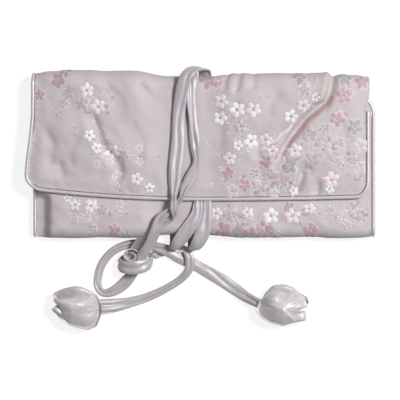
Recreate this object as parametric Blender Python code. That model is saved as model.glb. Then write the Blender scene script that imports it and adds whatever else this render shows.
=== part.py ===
"""Roll-up pouch of satin brocade, folded in three and tied shut with a satin ribbon.

The pouch lies on its back: +X runs along its length, +Y from the bottom fold to the top fold,
+Z up. The origin is under its middle, on the surface that it rests on. Sizes are in millimetres.
"""

import math

import bmesh
import bpy
from mathutils import Vector

MILLIMETRE = 0.001

# The brocade sheet, padded and lined, as one sewn layer
SHEET_WIDTH = 210.0
SHEET_THICKNESS = 3.2
SEAM_THICKNESS = 1.6
SEAM_TAPER = 7.0
CORNER_RADIUS = 9.0

# How the sheet is folded
FOLDED_DEPTH = 101.6
FRONT_SETBACK = 14.6
FLAP_REACH = 76.4
INNER_SPACE = 6.0
FLAP_CLEARANCE = 0.5
BODY_SHIFT = 2.6
FLAP_SHIFT = 1.6
FLAP_FLARE = 4.4
FLAP_FLARE_SHARE = 0.78
TOP_FOLD_RISE = 2.2
FOLD_END_DROP = 1.3
FLAP_EDGE_LEFT_LIFT = 6.2
FLAP_EDGE_RIGHT_LIFT = 1.6

# Fullness of the padding, and the waist that the tie pulls in
FLAP_FULLNESS = 2.6
FRONT_FULLNESS = 1.8
FOLD_FULLNESS = 0.8
FOLD_SHARE_OF_FLAP = 0.6
SIDE_SWELL_RUN = 26.0
FLAP_SWELL_RUN = 30.0
FRONT_BARE_START = 3.0
FRONT_BARE_RUN = 9.0
TIE_CENTRE = -8.0
WAIST_HALF_WIDTH = 16.0
WAIST_BLEND = 13.0
WAIST_DEPTH = 0.8
TIE_CHANNEL_DEPTH = 2.1

# Creases of the flap: start, end, height of the ridge, depth of the furrow beside it, width
FLAP_CREASES = (
    ((82.0, 48.0), (50.0, -4.0), 2.0, 1.5, 18.0),
    ((64.0, -8.0), (60.0, -24.0), 1.3, 1.1, 15.0),
    ((-70.0, 24.0), (-52.0, -6.0), 1.2, 0.7, 17.0),
    ((-52.0, -6.0), (-57.0, -22.0), 1.0, 0.6, 15.0),
    ((-34.0, 46.0), (-24.0, 30.0), 0.8, 0.5, 13.0),
)
CREASE_OVERRUN = 0.2
CREASE_FADE = 0.35
RIDGE_OFFSET = 0.45
RIDGE_SHARPNESS = 2.5
FURROW_OFFSET = 0.35
FURROW_SHARPNESS = 4.0

# Piping: a satin-covered cord sewn round the whole edge of the sheet
PIPING_RADIUS = 1.3
SEWN_GAP = 0.3

# Pockets of the lining, each with a zip across it
POCKET_SIDE_MARGIN = 9.0
POCKET_END_STRIP = 8.0
POCKET_THICKNESS = 0.8
POCKET_CORNER = 4.0
BACK_POCKET_SPAN = (-40.0, 38.0)
FRONT_POCKET_SPAN = (-40.0, 26.0)
BACK_ZIP_LINE = 24.0
FRONT_ZIP_LINE = -12.0
ZIP_LENGTH = SHEET_WIDTH - 2 * (POCKET_SIDE_MARGIN + POCKET_END_STRIP)
ZIP_WINDOW = 7.4
TAPE_WIDTH = 6.6
TAPE_THICKNESS = 0.45
COIL_WIDTH = 1.6
COIL_HEIGHT = 1.2
COIL_CHAMFER = 0.2
COIL_SPACING = 1.0
SLIDER_LENGTH = 8.0
SLIDER_WIDTH = 6.6
SLIDER_PLATE = 0.5
SLIDER_FLANGE = 0.6
SLIDER_POST = 0.5
SLIDER_NOSE_SHARE = 0.82
BAIL_LENGTH = 4.0
BAIL_WIDTH = 1.3
BAIL_BAR = 0.35
BAIL_LEG = 0.6
PULL_LENGTH = 15.0
PULL_WIDTH = 4.4
PULL_THICKNESS = 0.35
PULL_CORNER = 0.8
PULL_EYE = (2.2, 2.4)
PULL_END_BAR = 0.9
ZIP_CLEARANCE = 0.25
ZIP_END_MARGIN = 3.0
CUT_OVERRUN = 1.0

# Tie: one satin ribbon, sewn at its middle under the edge of the flap
RIBBON_WIDTH = 8.0
RIBBON_THICKNESS = 1.4
RIBBON_SIDES = 8
RIBBON_STEP = 5.9
ROUTE_SAMPLES = 8

# Rosebuds on the ends of the tie
BUD_LENGTH = 31.0
BUD_WIDTH = 27.0
BUD_HEIGHT = 19.0
BUD_NECK_RADIUS = 3.0
BUD_PETALS = 4
BUD_FURROW = 0.10
BUD_TIP_NOTCH = 0.16
BUD_BELLY_START_SHARE = 0.5
BUD_BELLY_END_SHARE = 0.94
BUD_BELLY_POWER = 0.75
BUD_NECK_FULLNESS = 0.12
BUD_RISE_RATE = 1.8
BUD_RINGS = 11
BUD_SIDES = 20
RIGHT_BUD_NECK = (36.2, -93.0, 6.2)
RIGHT_BUD_HEADING = (1.0, -0.06)
LEFT_BUD_NECK = (-63.2, -95.8, 5.6)
LEFT_BUD_HEADING = (-1.0, -0.02)

# How finely the sheet and its piping are divided
SHEET_COLUMNS = 42
COLUMN_CROWDING = 0.45
CORNER_STEPS = 4
FOLD_STEPS = 7
BACK_STEPS = 6
FLAP_STEPS = 14
FRONT_ROW_SHARES = (0.0, 0.25, 0.5, 0.62, 0.71, 0.8, 0.9)
PIPING_STEP = 14.0
PIPING_LEAST_TURN = 5.0

# Levels of the folded layers
BACK_LEVEL = SHEET_THICKNESS / 2
FRONT_LEVEL = BACK_LEVEL + SHEET_THICKNESS + INNER_SPACE
FLAP_LEVEL = FRONT_LEVEL + SHEET_THICKNESS + FLAP_CLEARANCE
BOTTOM_FOLD_RADIUS = (FRONT_LEVEL - BACK_LEVEL) / 2
TOP_FOLD_RADIUS = (FLAP_LEVEL - BACK_LEVEL) / 2


def smooth(share):
    """Ease from 0 to 1 with a level start and end."""
    share = min(max(share, 0.0), 1.0)
    return share * share * (3 - 2 * share)


def mix(low, high, share):
    return low + (high - low) * share


def remove_everything():
    for item in list(bpy.data.objects):
        bpy.data.objects.remove(item, do_unlink=True)


def material(name, colour, roughness, metallic=0.0):
    finish = bpy.data.materials.new(name)
    finish.use_nodes = True
    shader = finish.node_tree.nodes["Principled BSDF"]
    shader.inputs["Base Color"].default_value = (*colour, 1.0)
    shader.inputs["Roughness"].default_value = roughness
    shader.inputs["Metallic"].default_value = metallic
    return finish


def add_object(name, data, finish):
    item = bpy.data.objects.new(name, data)
    bpy.context.scene.collection.objects.link(item)
    data.materials.append(finish)
    return item


def mesh_object(name, shape, finish, is_round=True):
    """Turn a bmesh in millimetres into an object in metres."""
    bmesh.ops.recalc_face_normals(shape, faces=shape.faces)
    bmesh.ops.scale(shape, vec=(MILLIMETRE,) * 3, verts=shape.verts)
    mesh = bpy.data.meshes.new(name)
    shape.to_mesh(mesh)
    shape.free()
    if is_round:
        mesh.shade_smooth()
        mesh.set_sharp_from_angle(angle=math.radians(40))
    return add_object(name, mesh, finish)


# The folded sheet


def end_share(x):
    """How far x lies towards an end of the pouch, from -1 to 1."""
    return min(max((x - BODY_SHIFT) / (SHEET_WIDTH / 2), -1.0), 1.0)


def top_fold_line(x):
    rise = TOP_FOLD_RISE * smooth(-end_share(x) * 1.1)
    return FOLDED_DEPTH / 2 - FOLD_END_DROP / 2 + rise


def bottom_fold_line(x):
    return -FOLDED_DEPTH / 2 - FOLD_END_DROP * abs(end_share(x)) ** 3


def flap_edge_line(x):
    share = end_share(x)
    lift = (FLAP_EDGE_LEFT_LIFT if share < 0 else FLAP_EDGE_RIGHT_LIFT) * share**2
    return FOLDED_DEPTH / 2 - FLAP_REACH - FOLD_END_DROP / 2 + lift


def front_edge_line(x):
    return bottom_fold_line(x) + FOLDED_DEPTH - FRONT_SETBACK


def corner_inset(distance):
    """How far a rounded corner draws the side in, at a distance from the free edge."""
    if distance >= CORNER_RADIUS:
        return 0.0
    return CORNER_RADIUS - math.sqrt(CORNER_RADIUS**2 - (CORNER_RADIUS - distance) ** 2)


def free_edge_rows(shares):
    """Rows from a free edge inwards: on the corner's arc first, then shares of the straight run."""
    steps = range(CORNER_STEPS)
    arc = [CORNER_RADIUS * (1 - math.cos(math.pi / 2 * step / CORNER_STEPS)) for step in steps]
    return [(distance, 0.0) for distance in arc] + [(CORNER_RADIUS, share) for share in shares]


def sheet_rows():
    """Rows of the sheet from the front's hidden edge, round both folds, to the flap's edge.

    Each is a zone, the distance from its free edge, up to the end of the corner's arc, and a share.
    """
    front = free_edge_rows(FRONT_ROW_SHARES)
    flap = free_edge_rows([step / FLAP_STEPS for step in range(FLAP_STEPS)])
    turns = [step / FOLD_STEPS for step in range(FOLD_STEPS + 1)]
    rows = [("front", distance, share) for distance, share in front]
    rows += [("bottom fold", CORNER_RADIUS, turn) for turn in turns]
    rows += [("back", CORNER_RADIUS, step / BACK_STEPS) for step in range(1, BACK_STEPS)]
    rows += [("top fold", CORNER_RADIUS, turn) for turn in turns]
    rows += [("flap", distance, share) for distance, share in reversed(flap)]
    return rows


def sheet_side(side, zone, distance, share):
    """Place of the sheet's left (-1) or right (+1) side along X, in one of its rows."""
    shift = BODY_SHIFT
    flare = 0.0
    if zone == "top fold":
        shift = mix(BODY_SHIFT, FLAP_SHIFT, share)
    if zone == "flap":
        shift = FLAP_SHIFT
        if side < 0:
            flare = FLAP_FLARE * smooth(1 - share / FLAP_FLARE_SHARE)
    return shift + side * (SHEET_WIDTH / 2 + flare - corner_inset(distance))


def middle_surface(x, zone, distance, share):
    """Y, Z and outward direction of the sheet's middle surface at one row."""
    half = SHEET_THICKNESS / 2
    low = bottom_fold_line(x) + BOTTOM_FOLD_RADIUS + half
    high = top_fold_line(x) - TOP_FOLD_RADIUS - half
    if zone == "front":
        edge = front_edge_line(x)
        y = edge - distance - (edge - low - CORNER_RADIUS) * share
        return y, FRONT_LEVEL, (0.0, 1.0)
    if zone == "bottom fold":
        turn = math.pi * share
        centre = (FRONT_LEVEL + BACK_LEVEL) / 2
        y = low - BOTTOM_FOLD_RADIUS * math.sin(turn)
        return y, centre + BOTTOM_FOLD_RADIUS * math.cos(turn), (-math.sin(turn), math.cos(turn))
    if zone == "back":
        return mix(low, high, share), BACK_LEVEL, (0.0, -1.0)
    if zone == "top fold":
        turn = math.pi * share
        centre = (FLAP_LEVEL + BACK_LEVEL) / 2
        y = high + TOP_FOLD_RADIUS * math.sin(turn)
        return y, centre - TOP_FOLD_RADIUS * math.cos(turn), (math.sin(turn), -math.cos(turn))
    edge = flap_edge_line(x)
    y = edge + distance + (high - edge - CORNER_RADIUS) * share
    return y, FLAP_LEVEL, (0.0, 1.0)


def waist(x):
    """1 under the tie, easing to 0 beside it."""
    return 1 - smooth((abs(x - TIE_CENTRE) - WAIST_HALF_WIDTH) / WAIST_BLEND)


def crease_height(x, y):
    """Ridge on the left of each crease and furrow on its right, on the flap's outer face."""
    height = 0.0
    for start, end, ridge, furrow, width in FLAP_CREASES:
        run = Vector(end) - Vector(start)
        here = Vector((x, y)) - Vector(start)
        along = here.dot(run) / run.length_squared
        across = (here.x * run.y - here.y * run.x) / run.length
        fade = smooth((along + CREASE_OVERRUN) / CREASE_FADE)
        fade *= smooth((1 + CREASE_OVERRUN - along) / CREASE_FADE)
        offset = across / width
        height += fade * ridge * math.exp(-((offset - RIDGE_OFFSET) ** 2) * RIDGE_SHARPNESS)
        height -= fade * furrow * math.exp(-((offset + FURROW_OFFSET) ** 2) * FURROW_SHARPNESS)
    return height


def fullness(x, y, zone, edge_distance, share):
    """How far the padding swells out of the sheet's outer face."""
    swell = smooth(edge_distance / SIDE_SWELL_RUN)
    pulled = waist(x)
    if zone == "flap":
        end_fall = smooth((y - flap_edge_line(x)) / FLAP_SWELL_RUN)
        height = FLAP_FULLNESS * swell * end_fall + crease_height(x, y) * swell
        return mix(height, -WAIST_DEPTH, pulled)
    if zone == "front":
        bare = smooth((flap_edge_line(x) - FRONT_BARE_START - y) / FRONT_BARE_RUN)
        return mix(FRONT_FULLNESS * swell * bare, -WAIST_DEPTH, pulled)
    if zone == "bottom fold":
        height = mix(FRONT_FULLNESS, 0.0, smooth(share)) * swell
        return mix(height, -mix(WAIST_DEPTH, TIE_CHANNEL_DEPTH, share), pulled)
    if zone == "back":
        return -TIE_CHANNEL_DEPTH * pulled
    height = (FOLD_FULLNESS + FLAP_FULLNESS * FOLD_SHARE_OF_FLAP) * smooth(share) * swell
    return mix(height, -mix(TIE_CHANNEL_DEPTH, WAIST_DEPTH, share), pulled)


def sheet_columns():
    """Places across the sheet from -1 to 1, closer together towards both sides."""
    columns = []
    for index in range(SHEET_COLUMNS + 1):
        even = 2 * index / SHEET_COLUMNS - 1
        columns.append(mix(even, math.sin(even * math.pi / 2), COLUMN_CROWDING))
    return columns


def sheet_point(column, row):
    """Outer and inner point of the sheet at one place across and one row."""
    zone, distance, share = row
    left = sheet_side(-1, zone, distance, share)
    right = sheet_side(1, zone, distance, share)
    x = mix(left, right, (column + 1) / 2)
    y, z, outward = middle_surface(x, zone, distance, share)
    side_distance = min(x - left, right - x)
    free_distance = SEAM_TAPER
    if zone == "front":
        free_distance = front_edge_line(x) - y
    if zone == "flap":
        free_distance = y - flap_edge_line(x)
    edge_distance = min(side_distance, free_distance)
    half = mix(SEAM_THICKNESS, SHEET_THICKNESS, smooth(edge_distance / SEAM_TAPER)) / 2
    proud = half + fullness(x, y, zone, side_distance, share)
    outer = Vector((x, y + outward[0] * proud, z + outward[1] * proud))
    inner = Vector((x, y - outward[0] * half, z - outward[1] * half))
    return outer, inner


def middle_of_cell(columns, rows, r, c):
    """Outer and inner point of the true surface in the middle of a cell between two like rows."""
    column = (columns[c] + columns[c + 1]) / 2
    zone, distance, share = rows[r]
    next_zone, next_distance, next_share = rows[r + 1]
    if zone != next_zone:
        return None, None
    return sheet_point(column, (zone, (distance + next_distance) / 2, (share + next_share) / 2))


def rises_less(start, end, other_start, other_end, middle):
    """Whether the first diagonal of a cell passes nearer to the surface than the second."""
    if middle is None:
        return True
    first = ((start.co + end.co) / 2 - middle).length
    second = ((other_start.co + other_end.co) / 2 - middle).length
    return first <= second


def folded_sheet(finish):
    """One closed solid: the outer and the lining face, joined along the sheet's whole edge."""
    shape = bmesh.new()
    columns = sheet_columns()
    rows = sheet_rows()
    outer = []
    inner = []
    for row in rows:
        pairs = [sheet_point(column, row) for column in columns]
        outer.append([shape.verts.new(pair[0]) for pair in pairs])
        inner.append([shape.verts.new(pair[1]) for pair in pairs])
    last_row = len(rows) - 1
    last_column = len(columns) - 1
    for side, layer in enumerate((outer, inner)):
        for r in range(last_row):
            for c in range(last_column):
                here, right = layer[r][c], layer[r][c + 1]
                above, across = layer[r + 1][c], layer[r + 1][c + 1]
                middle = middle_of_cell(columns, rows, r, c)[side]
                if rises_less(here, across, right, above, middle):
                    shape.faces.new((here, right, across))
                    shape.faces.new((here, across, above))
                else:
                    shape.faces.new((here, right, above))
                    shape.faces.new((right, across, above))
    for r in range(last_row):
        for c in (0, last_column):
            shape.faces.new((outer[r][c], outer[r + 1][c], inner[r + 1][c], inner[r][c]))
    for c in range(last_column):
        for r in (0, last_row):
            shape.faces.new((outer[r][c], outer[r][c + 1], inner[r][c + 1], inner[r][c]))
    return mesh_object("folded_sheet", shape, finish)


# Piping


def sheet_outline():
    """Middle of the sheet's edge, once round, each with the direction out of its outer face."""
    rows = sheet_rows()
    columns = sheet_columns()

    def place(column, row):
        zone, distance, share = row
        left = sheet_side(-1, zone, distance, share)
        right = sheet_side(1, zone, distance, share)
        x = mix(left, right, (column + 1) / 2)
        y, z, outward = middle_surface(x, zone, distance, share)
        return Vector((x, y, z)), Vector((0.0, *outward))

    outline = [place(column, rows[0]) for column in columns]
    outline += [place(1.0, row) for row in rows[1:]]
    outline += [place(column, rows[-1]) for column in reversed(columns[:-1])]
    outline += [place(-1.0, row) for row in reversed(rows[1:-1])]
    return outline


def thinned(points, longest, least_turn):
    """Leave out the points of a closed polyline where it runs almost straight."""
    kept = [points[0]]
    for place, following in zip(points[1:], points[2:] + points[:1]):
        run = place - kept[-1]
        turn = run.angle(following - place)
        if turn > least_turn or run.length + (following - place).length > longest:
            kept.append(place)
    return kept


def edge_piping(finish):
    """A cord round the sheet's edge, in the plane of the sheet and just outside its seam."""
    outline = sheet_outline()
    count = len(outline)
    route = []
    for index, (place, outward) in enumerate(outline):
        tangent = (outline[(index + 1) % count][0] - outline[index - 1][0]).normalized()
        sideways = outward.cross(tangent).normalized()
        route.append(place + sideways * (SEWN_GAP + PIPING_RADIUS))
    route = thinned(route, PIPING_STEP, math.radians(PIPING_LEAST_TURN))
    curve = bpy.data.curves.new("edge_piping", "CURVE")
    curve.dimensions = "3D"
    curve.bevel_depth = PIPING_RADIUS * MILLIMETRE
    curve.bevel_resolution = 1
    spline = curve.splines.new("POLY")
    spline.points.add(len(route) - 1)
    spline.use_cyclic_u = True
    for point, place in zip(spline.points, route):
        point.co = (*(place * MILLIMETRE), 1.0)
    return add_object("edge_piping", curve, finish)


# Pockets and zips


def box(shape, low, high):
    """Add a closed box between two corners to a bmesh."""
    size = Vector(high) - Vector(low)
    made = bmesh.ops.create_cube(shape, size=1.0)
    bmesh.ops.scale(shape, vec=size, verts=made["verts"])
    bmesh.ops.translate(shape, vec=(Vector(low) + Vector(high)) / 2, verts=made["verts"])
    return made["verts"]


def stand_on(level, facing, height):
    """Height above a pocket's face, turned into Z; facing is 1 upwards and -1 downwards."""
    return level + facing * height


def pocket(name, span, zip_line, level, facing, finish):
    """A flat satin panel with rounded corners and a long window for its zip."""
    shape = bmesh.new()
    half_width = ZIP_LENGTH / 2 + POCKET_END_STRIP
    base = stand_on(level, -facing, POCKET_THICKNESS)
    low = (BODY_SHIFT - half_width, span[0], min(level, base))
    high = (BODY_SHIFT + half_width, span[1], max(level, base))
    box(shape, low, high)
    upright = [edge for edge in shape.edges if abs(edge.verts[0].co.z - edge.verts[1].co.z) > 0.1]
    bmesh.ops.bevel(shape, geom=upright, offset=POCKET_CORNER, segments=4, profile=0.5, affect="EDGES")
    panel = mesh_object(name, shape, finish, is_round=False)
    window = bmesh.new()
    cut_low = (BODY_SHIFT - ZIP_LENGTH / 2, zip_line - ZIP_WINDOW / 2, low[2] - CUT_OVERRUN)
    cut_high = (BODY_SHIFT + ZIP_LENGTH / 2, zip_line + ZIP_WINDOW / 2, high[2] + CUT_OVERRUN)
    box(window, cut_low, cut_high)
    cutter = mesh_object(name + "_window", window, finish, is_round=False)
    cutter.hide_render = True
    cutter.display_type = "WIRE"
    cut = panel.modifiers.new("window", "BOOLEAN")
    cut.operation = "DIFFERENCE"
    cut.object = cutter
    return panel


def extrude_outline(shape, outline, direction):
    """Extrude a closed outline into a solid."""
    face = shape.faces.new([shape.verts.new(corner) for corner in outline])
    made = bmesh.ops.extrude_face_region(shape, geom=[face])
    moved = [item for item in made["geom"] if isinstance(item, bmesh.types.BMVert)]
    bmesh.ops.translate(shape, vec=direction, verts=moved)
    return moved


def zip_tape(name, side, zip_line, level, facing, finish):
    """Half of a zip: a woven tape with the coil along its inner edge."""
    inner = COIL_SPACING / 2
    under = ZIP_CLEARANCE
    top = under + TAPE_THICKNESS
    coil_top = top + COIL_HEIGHT - TAPE_THICKNESS
    section = (
        (inner, under),
        (inner + TAPE_WIDTH, under),
        (inner + TAPE_WIDTH, top),
        (inner + COIL_WIDTH, top),
        (inner + COIL_WIDTH * (1 - COIL_CHAMFER), coil_top),
        (inner + COIL_WIDTH * COIL_CHAMFER, coil_top),
        (inner, top),
    )
    start = BODY_SHIFT - ZIP_LENGTH / 2
    shape = bmesh.new()
    outline = [(start, zip_line + side * y, stand_on(level, facing, z)) for y, z in section]
    extrude_outline(shape, outline, (ZIP_LENGTH, 0.0, 0.0))
    return mesh_object(name, shape, finish, is_round=False)


def slider_levels():
    """Heights of a slider above its pocket's face: lower plate, upper plate and bail."""
    coil_top = ZIP_CLEARANCE + COIL_HEIGHT
    upper = coil_top + ZIP_CLEARANCE
    lower = -ZIP_CLEARANCE / 2
    return {
        "lower plate": (lower - SLIDER_PLATE, lower),
        "upper plate": (upper, upper + SLIDER_PLATE),
        "flange": ZIP_CLEARANCE + TAPE_THICKNESS + ZIP_CLEARANCE,
        "bail": upper + SLIDER_PLATE + 2 * ZIP_CLEARANCE + PULL_THICKNESS,
    }


def slider_centre():
    """Place of the slider along X with the zip closed."""
    return BODY_SHIFT + ZIP_LENGTH / 2 - ZIP_END_MARGIN - SLIDER_LENGTH / 2


def zip_slider(name, zip_line, level, facing, finish):
    """A slider: two plates joined by the post that runs between the coils, and a bail on top."""
    levels = slider_levels()
    half = SLIDER_WIDTH / 2
    plate_low, plate_high = levels["upper plate"]
    base_low, base_high = levels["lower plate"]
    post = SLIDER_POST / 2
    inner = half - SLIDER_FLANGE
    right = (
        (post, base_high),
        (inner, base_high),
        (inner, base_low),
    )
    crown = (
        (inner, levels["flange"]),
        (inner, plate_low),
        (post, plate_low),
    )
    upper_right = ((half, plate_high), (half, levels["flange"]))
    loop = list(upper_right + crown + right)
    loop += [(-y, z) for y, z in reversed(loop)]
    start = slider_centre() - SLIDER_LENGTH / 2
    shape = bmesh.new()
    outline = [(start, zip_line + y, stand_on(level, facing, z)) for y, z in loop]
    nose = extrude_outline(shape, outline, (SLIDER_LENGTH, 0.0, 0.0))
    for corner in nose:
        across = corner.co.y - zip_line
        if abs(across) > inner + SLIDER_FLANGE / 2:
            corner.co.y = zip_line + across * SLIDER_NOSE_SHARE
    body = mesh_object(name, shape, finish, is_round=False)

    bail_top = levels["bail"] + BAIL_BAR
    sunk = plate_high - SLIDER_PLATE / 2
    centre = slider_centre()
    reach = BAIL_LENGTH / 2
    arch = (
        (-reach, sunk),
        (-reach, bail_top - BAIL_BAR),
        (-reach + BAIL_LEG, bail_top),
        (reach - BAIL_LEG, bail_top),
        (reach, bail_top - BAIL_BAR),
        (reach, sunk),
        (reach - BAIL_LEG, sunk),
        (reach - BAIL_LEG, levels["bail"]),
        (-reach + BAIL_LEG, levels["bail"]),
        (-reach + BAIL_LEG, sunk),
    )
    loop_shape = bmesh.new()
    start_y = zip_line - BAIL_WIDTH / 2
    outline = [(centre + x, start_y, stand_on(level, facing, z)) for x, z in arch]
    extrude_outline(loop_shape, outline, (0.0, BAIL_WIDTH, 0.0))
    bail = mesh_object(name + "_bail", loop_shape, finish, is_round=False)
    bail.hide_render = True
    bail.display_type = "WIRE"
    join = body.modifiers.new("bail", "BOOLEAN")
    join.operation = "UNION"
    join.object = bail
    return body


def zip_pull(name, zip_line, level, facing, finish):
    """A flat tab whose end bar lies under the slider's bail."""
    levels = slider_levels()
    low = levels["upper plate"][1] + ZIP_CLEARANCE
    eye_length, eye_width = PULL_EYE
    bar_centre = slider_centre()
    end = bar_centre + PULL_END_BAR / 2
    start = end - PULL_LENGTH
    shape = bmesh.new()
    heights = sorted((stand_on(level, facing, low), stand_on(level, facing, low + PULL_THICKNESS)))
    corner_low = (start, zip_line - PULL_WIDTH / 2, heights[0])
    corner_high = (end, zip_line + PULL_WIDTH / 2, heights[1])
    box(shape, corner_low, corner_high)
    upright = [edge for edge in shape.edges if abs(edge.verts[0].co.z - edge.verts[1].co.z) > 0.1]
    bmesh.ops.bevel(shape, geom=upright, offset=PULL_CORNER, segments=3, profile=0.5, affect="EDGES")
    tab = mesh_object(name, shape, finish, is_round=False)
    hole = bmesh.new()
    eye_end = end - PULL_END_BAR
    box(
        hole,
        (eye_end - eye_length, zip_line - eye_width / 2, heights[0] - CUT_OVERRUN),
        (eye_end, zip_line + eye_width / 2, heights[1] + CUT_OVERRUN),
    )
    cutter = mesh_object(name + "_eye", hole, finish, is_round=False)
    cutter.hide_render = True
    cutter.display_type = "WIRE"
    cut = tab.modifiers.new("eye", "BOOLEAN")
    cut.operation = "DIFFERENCE"
    cut.object = cutter
    return tab


# Tie ribbon

UP = (0.0, 0.0, 1.0)
DOWN = (0.0, 0.0, -1.0)
TOWARDS_TOP = (0.0, 1.0, 0.0)
TOWARDS_BOTTOM = (0.0, -1.0, 0.0)
LEFT = (-1.0, 0.0, 0.0)
RIGHT = (1.0, 0.0, 0.0)

# Each stop of a ribbon's route: place, share of its full width, and the way its face looks.
# This tail goes round the pouch, through both knots, round the left loop and to the right bud.
RIGHT_TAIL_ROUTE = (
    ((-1.2, -31.8, 13.9), 0.60, UP),
    ((-2.4, -37.0, 13.9), 0.75, UP),
    ((-4.8, -42.5, 13.9), 0.95, UP),
    ((-9.0, -48.5, 13.4), 1.0, (0.0, -0.3, 1.0)),
    ((-13.4, -54.6, 11.0), 1.0, (0.0, -1.0, 0.8)),
    ((-15.6, -57.4, 7.0), 1.0, TOWARDS_BOTTOM),
    ((-15.8, -54.6, 2.6), 1.0, (0.0, -1.0, -1.0)),
    ((-15.4, -48.6, 0.95), 1.0, DOWN),
    ((-14.2, -25.0, 0.95), 1.0, DOWN),
    ((-12.8, 0.0, 0.95), 1.0, DOWN),
    ((-10.6, 25.0, 0.95), 1.0, DOWN),
    ((-9.0, 41.0, 0.95), 1.0, DOWN),
    ((-8.2, 46.4, 1.8), 1.0, (0.0, 0.5, -1.0)),
    ((-7.2, 50.2, 4.6), 1.0, (0.0, 1.0, -0.5)),
    ((-6.2, 51.6, 9.0), 1.0, TOWARDS_TOP),
    ((-5.4, 49.6, 14.6), 1.0, (0.0, 1.0, 0.9)),
    ((-5.0, 43.6, 17.2), 1.0, UP),
    ((-5.2, 34.0, 17.3), 0.9, UP),
    ((-4.2, 22.0, 17.3), 0.75, UP),
    ((-3.4, 8.0, 17.3), 0.85, UP),
    ((-2.2, -3.5, 17.5), 0.6, (0.5, 0.0, 1.0)),
    ((-5.0, -12.5, 17.4), 0.8, UP),
    ((-9.4, -20.5, 17.4), 0.7, UP),
    ((-11.6, -26.4, 17.4), 0.45, UP),
    ((-15.4, -32.0, 17.4), 0.45, UP),
    ((-20.6, -36.2, 17.4), 0.6, UP),
    ((-25.4, -40.4, 17.2), 0.75, UP),
    ((-27.6, -47.4, 16.5), 0.95, (0.0, -0.4, 1.0)),
    ((-30.6, -54.0, 13.2), 1.1, (0.0, -0.8, 1.0)),
    ((-34.6, -60.4, 9.6), 1.0, (0.0, -0.7, 1.0)),
    ((-39.4, -67.4, 6.3), 0.8, (0.0, -0.4, 1.0)),
    ((-42.6, -74.4, 3.6), 0.8, (0.0, -0.4, 1.0)),
    ((-48.0, -81.0, 1.5), 0.9, UP),
    ((-54.4, -85.6, 1.0), 0.75, UP),
    ((-60.4, -87.0, 1.0), 0.6, UP),
    ((-64.0, -83.6, 1.0), 0.6, UP),
    ((-64.4, -77.4, 1.0), 0.65, UP),
    ((-61.4, -68.0, 1.0), 0.65, UP),
    ((-53.8, -59.8, 1.0), 0.65, UP),
    ((-43.2, -56.0, 1.0), 0.65, UP),
    ((-34.4, -56.4, 1.3), 0.65, UP),
    ((-26.6, -58.2, 3.0), 0.75, UP),
    ((-18.4, -61.2, 3.2), 0.9, UP),
    ((-13.2, -64.4, 2.4), 0.88, UP),
    ((-6.0, -67.8, 1.5), 0.95, UP),
    ((-1.0, -70.4, 1.0), 1.0, UP),
    ((3.8, -73.2, 1.0), 1.0, UP),
    ((13.8, -79.0, 1.0), 1.0, UP),
    ((22.4, -84.8, 1.6), 0.95, UP),
    ((29.0, -89.4, 3.6), 0.8, UP),
    ((34.4, -92.2, 6.0), 0.55, UP),
)

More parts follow.
